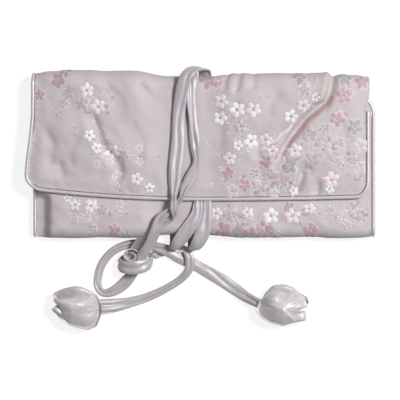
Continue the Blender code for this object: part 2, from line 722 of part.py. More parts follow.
# This tail goes round the pouch, wraps the other in both knots, and loops right to the left bud.
LEFT_TAIL_ROUTE = (
    ((4.6, -31.8, 13.9), 0.60, UP),
    ((4.4, -37.0, 13.9), 0.75, UP),
    ((3.8, -42.5, 13.9), 0.95, UP),
    ((1.8, -49.0, 13.4), 1.0, (0.0, -0.3, 1.0)),
    ((-1.2, -55.4, 11.0), 1.0, (0.0, -1.0, 0.8)),
    ((-3.8, -58.6, 7.0), 1.0, TOWARDS_BOTTOM),
    ((-4.6, -55.0, 2.6), 1.0, (0.0, -1.0, -1.0)),
    ((-4.6, -48.6, 0.95), 1.0, DOWN),
    ((-3.8, -25.0, 0.95), 1.0, DOWN),
    ((-2.2, 0.0, 0.95), 1.0, DOWN),
    ((0.2, 25.0, 0.95), 1.0, DOWN),
    ((2.0, 41.0, 0.95), 1.0, DOWN),
    ((2.8, 46.8, 1.6), 1.0, (0.0, 0.4, -1.0)),
    ((3.2, 51.2, 4.4), 1.0, (0.0, 1.0, -0.5)),
    ((1.6, 53.8, 9.4), 1.0, TOWARDS_TOP),
    ((-3.4, 54.0, 16.2), 0.95, (0.0, 1.0, 0.5)),
    ((-8.0, 50.2, 19.4), 0.95, (0.0, 0.6, 1.0)),
    ((-10.6, 43.4, 19.4), 0.95, UP),
    ((-12.4, 34.0, 18.2), 0.95, UP),
    ((-13.2, 24.0, 17.3), 1.0, UP),
    ((-13.8, 8.0, 17.2), 0.95, UP),
    ((-15.0, -5.0, 17.2), 1.0, UP),
    ((-15.6, -15.0, 17.3), 0.95, UP),
    ((-16.2, -23.4, 17.5), 0.6, UP),
    ((-16.4, -26.8, 18.7), 0.45, UP),
    ((-16.2, -30.4, 20.1), 0.6, (0.2, 0.0, 1.0)),
    ((-16.2, -34.2, 19.8), 0.65, (0.4, -0.3, 1.0)),
    ((-15.8, -37.4, 17.6), 0.55, (0.7, -0.8, 0.4)),
    ((-17.2, -39.6, 15.3), 0.5, (0.3, -0.7, -0.8)),
    ((-20.4, -41.0, 14.4), 0.6, (0.0, -0.3, -1.0)),
    ((-24.6, -43.0, 14.4), 0.75, DOWN),
    ((-28.6, -46.6, 14.3), 0.95, (0.0, 0.4, -1.0)),
    ((-34.2, -52.8, 10.8), 1.0, (0.0, 0.8, -1.0)),
    ((-39.0, -58.4, 6.6), 1.0, (0.0, 0.7, -1.0)),
    ((-43.0, -63.8, 2.9), 0.9, (0.0, 0.2, -1.0)),
    ((-48.8, -67.0, 2.6), 0.9, (-1.0, 0.0, -0.9)),
    ((-51.0, -69.0, 6.0), 0.95, LEFT),
    ((-47.6, -70.4, 10.0), 1.0, (-1.0, 0.0, 1.2)),
    ((-41.2, -70.8, 11.4), 1.05, UP),
    ((-34.6, -69.6, 10.0), 1.0, (1.0, 0.0, 1.2)),
    ((-30.8, -67.4, 6.0), 0.95, RIGHT),
    ((-30.4, -64.4, 2.4), 0.8, (1.0, 0.0, -1.0)),
    ((-26.4, -62.4, 1.0), 0.6, DOWN),
    ((-19.6, -60.6, 0.95), 0.5, DOWN),
    ((-13.8, -58.8, 0.95), 0.36, DOWN),
    ((-10.8, -58.4, 4.0), 0.4, DOWN),
    ((-7.4, -62.2, 4.9), 0.55, DOWN),
    ((-6.2, -68.6, 3.9), 0.65, DOWN),
    ((-8.0, -73.8, 3.0), 0.6, DOWN),
    ((-12.4, -78.4, 1.5), 0.58, DOWN),
    ((-19.0, -82.8, 1.1), 0.6, DOWN),
    ((-27.0, -87.0, 1.1), 0.6, DOWN),
    ((-36.0, -90.6, 1.1), 0.6, DOWN),
    ((-45.6, -93.2, 1.1), 0.6, DOWN),
    ((-54.6, -94.9, 2.6), 0.65, DOWN),
    ((-62.4, -95.6, 5.2), 0.6, DOWN),
)


def smooth_route(stops, step):
    """Read evenly spaced places, widths and facings from a smooth curve through the stops."""
    samples = []
    last = len(stops) - 1
    values = [Vector((*place, width, *Vector(facing).normalized())) for place, width, facing in stops]
    for index in range(last):
        before = values[max(index - 1, 0)]
        start = values[index]
        end = values[index + 1]
        after = values[min(index + 2, last)]
        for part in range(ROUTE_SAMPLES):
            t = part / ROUTE_SAMPLES
            square = (2 * before - 5 * start + 4 * end - after) * t**2
            cube = (3 * start - before - 3 * end + after) * t**3
            samples.append((2 * start + (end - before) * t + square + cube) / 2)
    samples.append(values[-1])
    lengths = [0.0]
    for start, end in zip(samples, samples[1:]):
        lengths.append(lengths[-1] + (Vector(end[0:3]) - Vector(start[0:3])).length)
    count = round(lengths[-1] / step)
    route = []
    piece = 0
    for index in range(count + 1):
        target = lengths[-1] * index / count
        while piece < len(samples) - 2 and lengths[piece + 1] < target:
            piece += 1
        share = (target - lengths[piece]) / (lengths[piece + 1] - lengths[piece])
        route.append(samples[piece].lerp(samples[piece + 1], min(share, 1.0)))
    return route


def ribbon(name, stops, finish):
    """A flat tube of satin swept along its route."""
    route = smooth_route(stops, RIBBON_STEP)
    shape = bmesh.new()
    rings = []
    last = len(route) - 1
    for index, stop in enumerate(route):
        place = Vector(stop[0:3])
        ahead = Vector(route[min(index + 1, last)][0:3])
        behind = Vector(route[max(index - 1, 0)][0:3])
        tangent = (ahead - behind).normalized()
        facing = Vector(stop[4:7])
        across = tangent.cross(facing).normalized()
        normal = across.cross(tangent).normalized()
        half_width = RIBBON_WIDTH * stop[3] / 2
        ring = []
        for corner in range(RIBBON_SIDES):
            turn = 2 * math.pi * (corner + 0.5) / RIBBON_SIDES
            sideways = across * math.cos(turn) / math.cos(math.pi / RIBBON_SIDES) * half_width
            upwards = normal * math.sin(turn) / math.sin(math.pi * 3 / RIBBON_SIDES) * RIBBON_THICKNESS / 2
            ring.append(shape.verts.new(place + sideways + upwards))
        rings.append(ring)
    for ring, following in zip(rings, rings[1:]):
        for corner in range(RIBBON_SIDES):
            beside = (corner + 1) % RIBBON_SIDES
            shape.faces.new((ring[corner], ring[beside], following[beside], following[corner]))
    shape.faces.new(rings[0])
    shape.faces.new(list(reversed(rings[-1])))
    return mesh_object(name, shape, finish)


# Rosebuds


def rosebud(name, neck, direction, finish):
    """A bud of folded petals: narrow at its neck, full in the middle, open at the petals' tips."""
    heading = Vector((*direction, 0.0)).normalized()
    across = Vector((-heading.y, heading.x, 0.0))
    start = Vector((neck[0], neck[1], 0.0))
    rest_height = BUD_HEIGHT / 2
    shape = bmesh.new()
    rings = []
    for index in range(BUD_RINGS):
        share = index / (BUD_RINGS - 1)
        closing = mix(BUD_BELLY_START_SHARE, BUD_BELLY_END_SHARE, max(share * 2 - 1, 0.0))
        belly = math.sin(math.pi * closing) ** BUD_BELLY_POWER
        gather = math.sin(math.pi / 2 * min(share * 2 + BUD_NECK_FULLNESS, 1.0))
        half_width = mix(BUD_NECK_RADIUS, BUD_WIDTH / 2, gather) * belly
        half_height = half_width * BUD_HEIGHT / BUD_WIDTH
        lift = mix(neck[2], rest_height, smooth(share * BUD_RISE_RATE))
        ring = []
        for corner in range(BUD_SIDES):
            turn = 2 * math.pi * corner / BUD_SIDES
            lobe = math.cos(BUD_PETALS * turn)
            hollow = (1 - lobe) / 2
            radius = 1 - BUD_FURROW * smooth(share * 2) * hollow
            reach = BUD_LENGTH * (share - BUD_TIP_NOTCH * smooth(share * 3 - 2) * hollow)
            height = max(lift + math.sin(turn) * half_height * radius, 0.0)
            place = start + heading * reach + across * math.cos(turn) * half_width * radius
            ring.append(shape.verts.new((place.x, place.y, height)))
        rings.append(ring)
    for ring, following in zip(rings, rings[1:]):
        for corner in range(BUD_SIDES):
            beside = (corner + 1) % BUD_SIDES
            shape.faces.new((ring[corner], ring[beside], following[beside], following[corner]))
    for ring, depth in ((rings[0], 0.0), (rings[-1], -BUD_LENGTH * BUD_TIP_NOTCH)):
        middle = sum((corner.co for corner in ring), Vector()) / BUD_SIDES + heading * depth
        centre = shape.verts.new(middle)
        for corner in range(BUD_SIDES):
            shape.faces.new((ring[corner], ring[(corner + 1) % BUD_SIDES], centre))
    return mesh_object(name, shape, finish)


def build():
    remove_everything()
    brocade = material("brocade", (0.59, 0.52, 0.51), 0.42)
    lining = material("lining_satin", (0.62, 0.56, 0.58), 0.35)
    satin = material("ribbon_satin", (0.53, 0.49, 0.53), 0.3)
    tape = material("zip_tape", (0.55, 0.50, 0.53), 0.7)
    zip_metal = material("zip_metal", (0.62, 0.61, 0.60), 0.35, 1.0)

    folded_sheet(brocade)
    edge_piping(satin)

    back_face = SHEET_THICKNESS + SEWN_GAP + POCKET_THICKNESS
    front_face = SHEET_THICKNESS + INNER_SPACE - SEWN_GAP - POCKET_THICKNESS
    sides = (
        ("back", BACK_POCKET_SPAN, BACK_ZIP_LINE, back_face, 1),
        ("front", FRONT_POCKET_SPAN, FRONT_ZIP_LINE, front_face, -1),
    )
    for side, span, zip_line, face, facing in sides:
        pocket(side + "_pocket", span, zip_line, face, facing, lining)
        zip_tape(side + "_zip_tape_upper", 1, zip_line, face, facing, tape)
        zip_tape(side + "_zip_tape_lower", -1, zip_line, face, facing, tape)
        zip_slider(side + "_zip_slider", zip_line, face, facing, zip_metal)
        zip_pull(side + "_zip_pull", zip_line, face, facing, zip_metal)

    ribbon("tie_right_tail", RIGHT_TAIL_ROUTE, satin)
    ribbon("tie_left_tail", LEFT_TAIL_ROUTE, satin)
    rosebud("rosebud_right", RIGHT_BUD_NECK, RIGHT_BUD_HEADING, satin)
    rosebud("rosebud_left", LEFT_BUD_NECK, LEFT_BUD_HEADING, satin)


build()
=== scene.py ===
"""Roll-up pouch of satin brocade, tied with a satin ribbon that ends in two fabric rosebuds.

Sizes are in metres. +X runs along the pouch, +Y from its bottom fold to its top fold, +Z up.
"""

import math
import random

import bmesh
import bpy
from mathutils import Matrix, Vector, noise


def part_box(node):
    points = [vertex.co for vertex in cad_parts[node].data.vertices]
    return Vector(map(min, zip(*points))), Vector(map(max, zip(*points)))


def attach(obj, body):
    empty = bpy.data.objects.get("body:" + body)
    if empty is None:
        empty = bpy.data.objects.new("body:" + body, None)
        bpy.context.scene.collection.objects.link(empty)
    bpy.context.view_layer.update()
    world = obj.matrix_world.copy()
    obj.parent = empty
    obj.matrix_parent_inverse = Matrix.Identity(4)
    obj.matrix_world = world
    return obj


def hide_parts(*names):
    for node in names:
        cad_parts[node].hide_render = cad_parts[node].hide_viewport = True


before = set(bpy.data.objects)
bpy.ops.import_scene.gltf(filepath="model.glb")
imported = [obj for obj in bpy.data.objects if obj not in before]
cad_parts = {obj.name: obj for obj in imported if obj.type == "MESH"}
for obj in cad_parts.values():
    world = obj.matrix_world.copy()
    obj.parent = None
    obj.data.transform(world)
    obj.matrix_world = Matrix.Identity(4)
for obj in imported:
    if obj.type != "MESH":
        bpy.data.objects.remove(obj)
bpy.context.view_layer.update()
MM = 0.001

# The camera stands straight above the pouch, far off, with a long lens.
# Its picture is 251 mm wide at the middle of the pouch's thickness.
camera_data = bpy.data.cameras.new("camera")
camera_data.lens = 300
camera_data.sensor_width = 36
camera = bpy.data.objects.new("camera", camera_data)
camera.location = (0.0, -0.0283, 2.105)
bpy.context.scene.collection.objects.link(camera)
bpy.context.scene.camera = camera


# Rosebuds: each is a bud of satin petals folded flat over a stuffed middle.
# They are gathered at the neck and sewn round the end of the tie.
def smooth(share):
    """Ease from 0 to 1 with a level start and end."""
    share = min(max(share, 0.0), 1.0)
    return share * share * (3 - 2 * share)


def mix(low, high, share):
    return low + (high - low) * share


def bump(value, centre, width):
    """A soft hump, 1 at its centre."""
    return math.exp(-(((value - centre) / width) ** 2))


def finished(name, shape, slot, *materials, angle=50):
    """Turn a bmesh in millimetres into a piece in metres that rides on the pouch."""
    bmesh.ops.scale(shape, vec=(MM,) * 3, verts=shape.verts)
    mesh = bpy.data.meshes.new(name)
    shape.to_mesh(mesh)
    shape.free()
    mesh.shade_smooth()
    mesh.set_sharp_from_angle(angle=math.radians(angle))
    for material in materials:
        mesh.materials.append(material)
    piece = bpy.data.objects.new(name, mesh)
    bpy.context.scene.collection.objects.link(piece)
    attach(piece, "pouch")
    return piece


def feed(tree, node, inputs):
    """Give each named input of a node its value, or a link from another node's output."""
    for name, value in inputs.items():
        if isinstance(value, bpy.types.NodeSocket):
            tree.links.new(value, node.inputs[name])
        else:
            node.inputs[name].default_value = value


def add_node(tree, kind, inputs, **settings):
    node = tree.nodes.new("ShaderNode" + kind)
    for name, value in settings.items():
        setattr(node, name, value)
    feed(tree, node, inputs)
    return node


def new_material(name):
    material = bpy.data.materials.new(name)
    material.use_nodes = True
    return material, material.node_tree


def noise_in(tree, vector, scale, detail):
    return add_node(tree, "TexNoise", {"Vector": vector, "Scale": scale, "Detail": detail}).outputs


def mixed(tree, factor, below, above, blend_type="MIX"):
    inputs = {"Factor": factor, "A": below, "B": above}
    return add_node(tree, "Mix", inputs, data_type="RGBA", blend_type=blend_type).outputs["Result"]


def satin(name, light, dark, roughness, bump_height=0.00004, metallic=0.2, coordinates="UV"):
    """Satin: fine threads along the cloth, soft colour changes and a broad bright sheen."""
    material, tree = new_material(name)
    place = add_node(tree, "TexCoord", {}).outputs
    along = add_node(tree, "Mapping", {"Vector": place[coordinates], "Scale": (1.0, 0.12, 1.0)})
    threads = noise_in(tree, along.outputs["Vector"], 5200, 2)
    clouds = noise_in(tree, place["Object"], 90, 3)
    blend = mixed(tree, clouds["Fac"], (*dark, 1), (*light, 1))
    raised = {"Distance": bump_height, "Strength": 0.5, "Height": threads["Fac"]}
    feed(tree, tree.nodes["Principled BSDF"], {
        "Base Color": mixed(tree, 0.18, blend, threads["Color"], "SOFT_LIGHT"),
        "Roughness": roughness,
        "Metallic": metallic,
        "Specular IOR Level": 0.5,
        "Sheen Weight": 0.08,
        "Sheen Roughness": 0.4,
        "Normal": add_node(tree, "Bump", raised).outputs["Normal"],
    })
    return material


def woven(material, direction, scale, distortion, coordinates, distance, strength):
    """Add a weave of fine ribs over a satin's threads."""
    tree = material.node_tree
    place = tree.nodes["Texture Coordinate"].outputs[coordinates]
    lines = {"Vector": place, "Scale": scale, "Distortion": distortion}
    ribs = add_node(tree, "TexWave", lines, bands_direction=direction).outputs["Fac"]
    threads = tree.nodes["Bump"].outputs["Normal"]
    raised = {"Distance": distance, "Strength": strength, "Height": ribs, "Normal": threads}
    relief = add_node(tree, "Bump", raised).outputs["Normal"]
    feed(tree, tree.nodes["Principled BSDF"], {"Normal": relief})


bud_satin = satin(
    "bud satin", (0.76, 0.715, 0.742), (0.60, 0.565, 0.588), 0.43, metallic=0.12, coordinates="Object"
)

# Each petal: its outline seen from above, then its level, its rise above and its sink below that.
# Its fold lines follow: the cloth falls away on the right of each line, by the slope given.
LEFT_PETALS = (
    (((-92.7, -88.1), (-92.2, -86.9), (-87.9, -84.7), (-83.2, -83.2), (-78.1, -82.3), (-74.2, -83.0),
      (-70.3, -84.7), (-66.1, -86.9), (-64.1, -89.3), (-64.7, -94.3), (-72.3, -96.2), (-81.7, -94.3),
      (-89.3, -91.8), (-92.4, -89.6)), 8.0, 6.6, 7.8,
     (((-93.0, -83.2), (-62.0, -84.0), 0.75), ((-74.0, -80.0), (-76.0, -96.0), 0.25))),
    (((-93.5, -97.3), (-92.8, -96.2), (-89.9, -95.5), (-84.2, -96.8), (-77.9, -99.9), (-72.9, -106.2),
      (-76.7, -108.7), (-82.6, -107.2), (-86.6, -104.2), (-90.5, -100.3)), 6.4, 4.6, 6.2,
     (((-94.0, -98.5), (-74.0, -108.0), 0.4),)),
    (((-90.1, -94.2), (-89.0, -94.5), (-85.0, -100.1), (-86.8, -101.4), (-89.9, -99.3), (-93.0, -96.7)),
     9.6, 2.6, 3.0, ()),
    (((-92.4, -90.3), (-84.9, -89.4), (-78.1, -88.4), (-72.9, -88.3), (-67.4, -88.5), (-63.8, -89.4),
      (-62.1, -95.1), (-61.6, -98.7), (-63.2, -103.8), (-65.2, -108.0), (-70.8, -110.2), (-76.7, -108.9),
      (-82.6, -107.1), (-86.6, -104.0), (-88.3, -101.5), (-87.1, -98.4), (-88.9, -95.2), (-91.0, -93.2)),
     9.4, 9.3, 9.2,
     (((-93.0, -91.2), (-61.0, -97.0), 0.42), ((-61.0, -96.4), (-93.0, -90.6), 0.14),
      ((-82.0, -112.0), (-80.0, -86.0), 0.2))),
)
RIGHT_PETALS = (
    (((39.0, -90.5), (40.9, -87.2), (42.7, -85.2), (45.4, -82.2), (47.5, -81.6), (53.2, -81.3),
      (55.4, -81.9), (59.0, -83.4), (62.9, -86.7), (67.4, -89.4), (68.6, -93.3), (67.0, -94.0),
      (62.9, -94.9), (53.4, -96.2), (42.7, -94.3)), 8.0, 7.0, 7.8,
     (((38.0, -82.6), (70.0, -82.6), 0.7),)),
    (((55.9, -101.5), (60.3, -99.0), (65.9, -97.8), (66.8, -99.9), (66.5, -104.2), (62.2, -104.9),
      (56.6, -105.9), (52.8, -103.7)), 8.4, 4.6, 6.0, (((55.0, -99.0), (64.0, -106.0), 0.3),)),
    (((39.0, -90.2), (40.9, -87.7), (43.1, -85.8), (49.0, -85.7), (54.7, -86.9), (57.5, -86.6),
      (58.5, -88.0), (62.9, -89.6), (66.6, -91.8), (68.0, -95.4), (66.6, -96.4), (64.7, -95.9),
      (62.2, -98.1), (58.8, -101.1), (58.5, -103.1), (60.3, -104.7), (55.4, -106.5), (52.4, -107.6),
      (48.2, -106.9), (42.7, -105.4), (38.2, -102.3), (35.2, -98.8), (34.8, -96.9), (36.1, -94.5),
      (37.3, -91.5)), 9.4, 9.3, 9.2,
     (((39.0, -89.0), (60.0, -104.5), 0.36), ((60.0, -104.0), (40.0, -89.0), 0.3),
      ((52.0, -84.0), (60.0, -92.0), 0.1))),
)


PETAL_EDGE_ROUNDNESS = 0.6
FOLD_SOFTNESS = 0.16
PLEAT_HEIGHT = 0.9
PLEAT_RUN = 5.0
PLEATS_ROUND_NECK = 13.0
NECK_DROP = 0.42
NECK_DROP_RUN = 8.0
BUD_CLEARANCE = 0.15


def reach_to(outline, centre, direction):
    """Distance from a point inside an outline to the outline, in a direction."""
    best = 0.0
    for (ax, ay), (bx, by) in zip(outline, outline[1:] + outline[:1]):
        edge_x, edge_y = bx - ax, by - ay
        cross = direction[0] * edge_y - direction[1] * edge_x
        if abs(cross) < 1e-9:
            continue
        away = ((ax - centre[0]) * edge_y - (ay - centre[1]) * edge_x) / cross
        along = ((ax - centre[0]) * direction[1] - (ay - centre[1]) * direction[0]) / cross
        if away > 0 and -0.001 <= along <= 1.001:
            best = max(best, away)
    return best


def petal(outline, level, rise, sink, fold_lines, neck, seed):
    """A folded petal: a flattened ball drawn out to the petal's outline, with folds and pleats."""
    shape = bmesh.new()
    bmesh.ops.create_uvsphere(shape, u_segments=96, v_segments=36, radius=1.0)
    centre = (sum(x for x, _ in outline) / len(outline), sum(y for _, y in outline) / len(outline))
    for vert in shape.verts:
        out = math.hypot(vert.co.x, vert.co.y)
        direction = (vert.co.x / out, vert.co.y / out) if out > 1e-6 else (1.0, 0.0)
        reach = reach_to(outline, centre, direction) * min(out, 1.0) ** 0.9
        x, y = centre[0] + direction[0] * reach, centre[1] + direction[1] * reach
        height = math.copysign(abs(vert.co.z) ** PETAL_EDGE_ROUNDNESS, vert.co.z)
        from_neck = math.hypot(x - neck[0], y - neck[1])
        angle = math.atan2(y - neck[1], x - neck[0])
        folds = 0.9 * noise.noise(Vector((x / 8.5, y / 5.5, seed)))
        folds += 0.7 * abs(noise.noise(Vector((x / 4.5, y / 3.2, seed + 3))))
        for (ax, ay), (bx, by), slope in fold_lines:
            side = ((x - ax) * (by - ay) - (y - ay) * (bx - ax)) / math.hypot(bx - ax, by - ay)
            folds -= slope * (side + math.sqrt(side * side + FOLD_SOFTNESS)) / 2
        pleats = PLEAT_HEIGHT * math.exp(-from_neck / PLEAT_RUN) * math.cos(angle * PLEATS_ROUND_NECK + seed)
        drop = NECK_DROP * rise * math.exp(-((from_neck / NECK_DROP_RUN) ** 2))
        z = level + height * (rise if vert.co.z > 0 else sink)
        if vert.co.z > 0:
            z += (folds + pleats - drop) * min(vert.co.z * 2.2, 1.0)
        vert.co = (x, y, max(z, BUD_CLEARANCE))
    return shape


def add_to(whole, part):
    """Add one bmesh to another and free it."""
    carrier = bpy.data.meshes.new("carrier")
    part.to_mesh(carrier)
    part.free()
    whole.from_mesh(carrier)
    bpy.data.meshes.remove(carrier)


def rosebud(name, neck, petals, node):
    """Petals over one another, gathered at the neck, in the place of the plain CAD bud."""
    shape = bmesh.new()
    for number, petal_form in enumerate(petals):
        add_to(shape, petal(*petal_form, neck, 2.0 + 3.7 * number + neck[0]))
    bud = finished(name, shape, "ribbon_satin", bud_satin, angle=60)
    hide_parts(node)
    return bud


bud_left = rosebud("satin_rosebud_left", (-62.5, -96.5), LEFT_PETALS, "rosebud_left")
bud_right = rosebud("satin_rosebud_right", (36.5, -93.5), RIGHT_PETALS, "rosebud_right")

# Tie: one satin ribbon, a flat tube turned right side out, sewn at its middle under the flap.
# Each half goes round the pouch, through both knots and out to its rosebud.
RIBBON_WIDTH = 8.0
RIBBON_THICKNESS = 1.4
RIBBON_STEP = 0.9
RIBBON_SIDES = 44
DOUBLED_WIDTH = 0.76
GATHER_DEPTH = 1.6
FOLD_DEPTH = 0.7
DOUBLED_DEPTH = 0.95
DOUBLED_LIP = 0.3
CROWN = 0.5
PLEATED_CROWN = 0.2
FOLD_TURN_Y = -56.5
FOLD_TURN_REACH = 4.5
FOLD_TURN_CROWN = 1.4
RIBBON_CLEARANCE = 0.06
UP = (0.0, 0.0, 1.0)
DOWN = (0.0, 0.0, -1.0)
TOWARDS_TOP = (0.0, 1.0, 0.0)
TOWARDS_BOTTOM = (0.0, -1.0, 0.0)
LEFT = (-1.0, 0.0, 0.0)
RIGHT = (1.0, 0.0, 0.0)

# Each stop of a ribbon's route: place, share of its full width, and the way its face looks.
# This tail goes round the pouch, through both knots, round the left loop and to the right bud.
RIGHT_TAIL_ROUTE = (
    ((-0.9, -29.0, 13.2), 0.70, UP),
    ((-1.2, -31.8, 13.9), 0.74, UP),
    ((-2.2, -37.0, 13.9), 0.88, UP),
    ((-4.8, -42.5, 13.9), 1.05, UP),
    ((-9.0, -48.5, 13.4), 1.12, (0.0, -0.3, 1.0)),
    ((-13.4, -54.6, 11.0), 1.12, (0.0, -1.0, 0.8)),
    ((-15.6, -57.4, 7.0), 1.0, TOWARDS_BOTTOM),
    ((-15.8, -54.6, 2.6), 0.8, (0.0, -1.0, -1.0)),
    ((-15.4, -48.6, 0.95), 0.9, DOWN),
    ((-14.2, -25.0, 0.95), 1.0, DOWN),
    ((-12.8, 0.0, 0.95), 1.0, DOWN),
    ((-10.6, 25.0, 0.95), 1.0, DOWN),
    ((-9.0, 41.0, 0.95), 1.0, DOWN),
    ((-8.2, 46.4, 1.8), 1.0, (0.0, 0.5, -1.0)),
    ((-7.2, 50.2, 4.6), 1.0, (0.0, 1.0, -0.5)),
    ((-6.2, 51.6, 9.0), 1.0, TOWARDS_TOP),
    ((-5.4, 49.6, 14.6), 1.0, (0.0, 1.0, 0.9)),
    ((-5.0, 43.6, 17.2), 1.0, (0.2, 0.0, 1.0)),
    ((-5.2, 34.0, 17.3), 0.9, (0.35, 0.0, 1.0)),
    ((-4.2, 22.0, 17.3), 0.75, (0.2, 0.0, 1.0)),
    ((-3.4, 8.0, 17.3), 0.85, (-0.2, 0.0, 1.0)),
    ((-2.2, -3.5, 17.5), 0.55, (0.6, 0.0, 1.0)),
    ((-5.0, -12.5, 17.4), 0.85, (0.25, 0.0, 1.0)),
    ((-9.4, -20.5, 17.4), 0.75, UP),
    ((-11.6, -26.4, 17.4), 0.45, UP),
    ((-15.4, -32.0, 17.4), 0.45, UP),
    ((-20.6, -36.2, 17.4), 0.6, UP),
    ((-25.4, -40.4, 17.2), 0.75, (0.3, 0.0, 1.0)),
    ((-27.6, -47.4, 16.5), 0.95, (0.6, -0.2, 1.0)),
    ((-30.6, -54.0, 13.2), 1.1, (0.8, -0.3, 1.0)),
    ((-34.6, -60.4, 9.6), 1.0, (0.6, -0.4, 1.0)),
    ((-39.4, -67.4, 6.3), 0.8, (0.0, -0.4, 1.0)),
    ((-42.6, -74.4, 3.6), 0.85, (0.0, -0.4, 1.0)),
    ((-48.0, -81.0, 1.5), 0.95, UP),
    ((-54.4, -85.6, 1.0), 0.8, UP),
    ((-60.4, -87.0, 1.0), 0.62, UP),
    ((-64.0, -83.6, 1.0), 0.62, UP),
    ((-64.4, -77.4, 1.0), 0.66, UP),
    ((-61.4, -68.0, 1.0), 0.66, UP),
    ((-53.8, -59.8, 1.0), 0.66, UP),
    ((-43.2, -56.0, 1.0), 0.68, UP),
    ((-34.4, -56.4, 1.3), 0.68, UP),
    ((-26.6, -58.2, 3.0), 0.8, UP),
    ((-18.4, -61.2, 3.2), 0.95, UP),
    ((-13.2, -64.4, 2.4), 0.95, UP),
    ((-6.0, -67.8, 1.5), 0.95, UP),
    ((-1.0, -70.4, 1.0), 0.9, UP),
    ((3.8, -73.2, 1.0), 0.95, UP),
    ((13.8, -79.0, 1.0), 1.0, UP),
    ((22.4, -84.8, 1.6), 0.95, UP),
    ((29.0, -89.4, 3.6), 0.85, UP),
    ((34.4, -92.2, 6.0), 0.78, UP),
    ((38.0, -93.8, 7.2), 0.7, UP),
)

# This tail goes round the pouch, wraps the other in both knots, and loops right to the left bud.
LEFT_TAIL_ROUTE = (
    ((4.7, -29.0, 13.2), 0.68, UP),
    ((4.6, -31.8, 13.9), 0.70, UP),
    ((4.2, -37.0, 13.9), 0.88, UP),
    ((3.4, -42.5, 13.9), 1.08, UP),
    ((1.6, -49.0, 13.4), 1.15, (0.0, -0.3, 1.0)),
    ((-1.4, -55.4, 11.0), 1.12, (0.0, -1.0, 0.8)),
    ((-3.8, -58.6, 7.0), 1.0, TOWARDS_BOTTOM),
    ((-4.6, -55.0, 2.6), 0.8, (0.0, -1.0, -1.0)),
    ((-4.6, -48.6, 0.95), 0.9, DOWN),
    ((-3.8, -25.0, 0.95), 1.0, DOWN),
    ((-2.2, 0.0, 0.95), 1.0, DOWN),
    ((0.2, 25.0, 0.95), 1.0, DOWN),
    ((2.0, 41.0, 0.95), 1.0, DOWN),
    ((2.8, 46.8, 1.6), 1.0, (0.0, 0.4, -1.0)),
    ((3.2, 51.2, 4.4), 1.0, (0.0, 1.0, -0.5)),
    ((1.6, 53.8, 9.4), 1.0, TOWARDS_TOP),
    ((-3.4, 54.0, 16.2), 0.95, (0.0, 1.0, 0.5)),
    ((-8.0, 50.2, 19.4), 0.95, (-0.1, 0.6, 1.0)),
    ((-10.6, 43.4, 19.4), 1.0, (-0.15, 0.0, 1.0)),
    ((-12.4, 34.0, 18.2), 1.0, (-0.15, 0.0, 1.0)),
    ((-13.2, 24.0, 17.3), 1.0, UP),
    ((-13.8, 8.0, 17.2), 1.05, UP),
    ((-15.0, -5.0, 17.2), 1.1, UP),
    ((-15.6, -15.0, 17.3), 1.0, UP),
    ((-16.2, -23.4, 17.5), 0.65, UP),
    ((-16.4, -26.8, 18.7), 0.45, UP),
    ((-16.2, -30.4, 20.1), 0.62, (0.3, 0.0, 1.0)),
    ((-16.2, -34.2, 19.8), 0.68, (0.5, -0.3, 1.0)),
    ((-15.8, -37.4, 17.6), 0.55, (0.7, -0.8, 0.4)),
    ((-17.2, -39.6, 15.3), 0.5, (0.3, -0.7, -0.8)),
    ((-20.4, -41.0, 14.4), 0.6, (0.0, -0.3, -1.0)),
    ((-24.6, -43.0, 14.4), 0.75, DOWN),
    ((-28.6, -46.6, 14.3), 0.95, (0.5, 0.4, -1.0)),
    ((-34.2, -52.8, 10.8), 1.1, (0.8, 0.8, -1.0)),
    ((-39.0, -58.4, 6.6), 1.1, (0.8, 0.7, -1.0)),
    ((-43.0, -63.8, 2.9), 0.95, (0.0, 0.2, -1.0)),
    ((-48.8, -67.0, 2.6), 0.9, (-1.0, 0.0, -0.9)),
    ((-51.0, -69.0, 6.0), 0.95, LEFT),
    ((-47.6, -70.4, 10.0), 1.0, (-1.0, 0.0, 1.2)),
    ((-41.2, -70.8, 11.4), 1.1, (0.0, -0.25, 1.0)),
    ((-34.6, -69.6, 10.0), 1.0, (1.0, 0.0, 1.2)),
    ((-30.8, -67.4, 6.0), 0.95, RIGHT),
    ((-30.4, -64.4, 2.4), 0.8, (1.0, 0.0, -1.0)),
    ((-26.4, -62.4, 1.0), 0.6, DOWN),
    ((-19.6, -60.6, 0.95), 0.5, DOWN),
    ((-13.8, -58.8, 0.95), 0.4, DOWN),
    ((-10.8, -58.4, 4.0), 0.45, DOWN),
    ((-7.4, -62.2, 4.9), 0.66, DOWN),
    ((-6.2, -68.6, 3.9), 0.78, DOWN),
    ((-8.0, -73.8, 3.0), 0.66, DOWN),
    ((-12.4, -78.4, 1.5), 0.62, DOWN),
    ((-19.0, -82.8, 1.1), 0.62, DOWN),
    ((-27.0, -87.0, 1.1), 0.66, DOWN),
    ((-36.0, -90.6, 1.1), 0.72, DOWN),
    ((-45.6, -93.2, 1.1), 0.85, DOWN),
    ((-54.6, -94.9, 2.6), 1.1, DOWN),
    ((-62.4, -95.6, 5.2), 1.2, DOWN),
    ((-65.6, -96.2, 7.0), 1.1, DOWN),
)

# Where a ribbon is drawn together: the place, and how far its pleats run from it.
GATHERS = (
    ((-14.4, -28.0, 18.0), 18.0),
    ((-24.6, -41.0, 16.0), 6.0),
    ((-62.4, -95.6, 5.4), 14.0),
    ((35.6, -92.8, 6.4), 7.0),
    ((-2.4, -3.0, 17.4), 8.0),
)


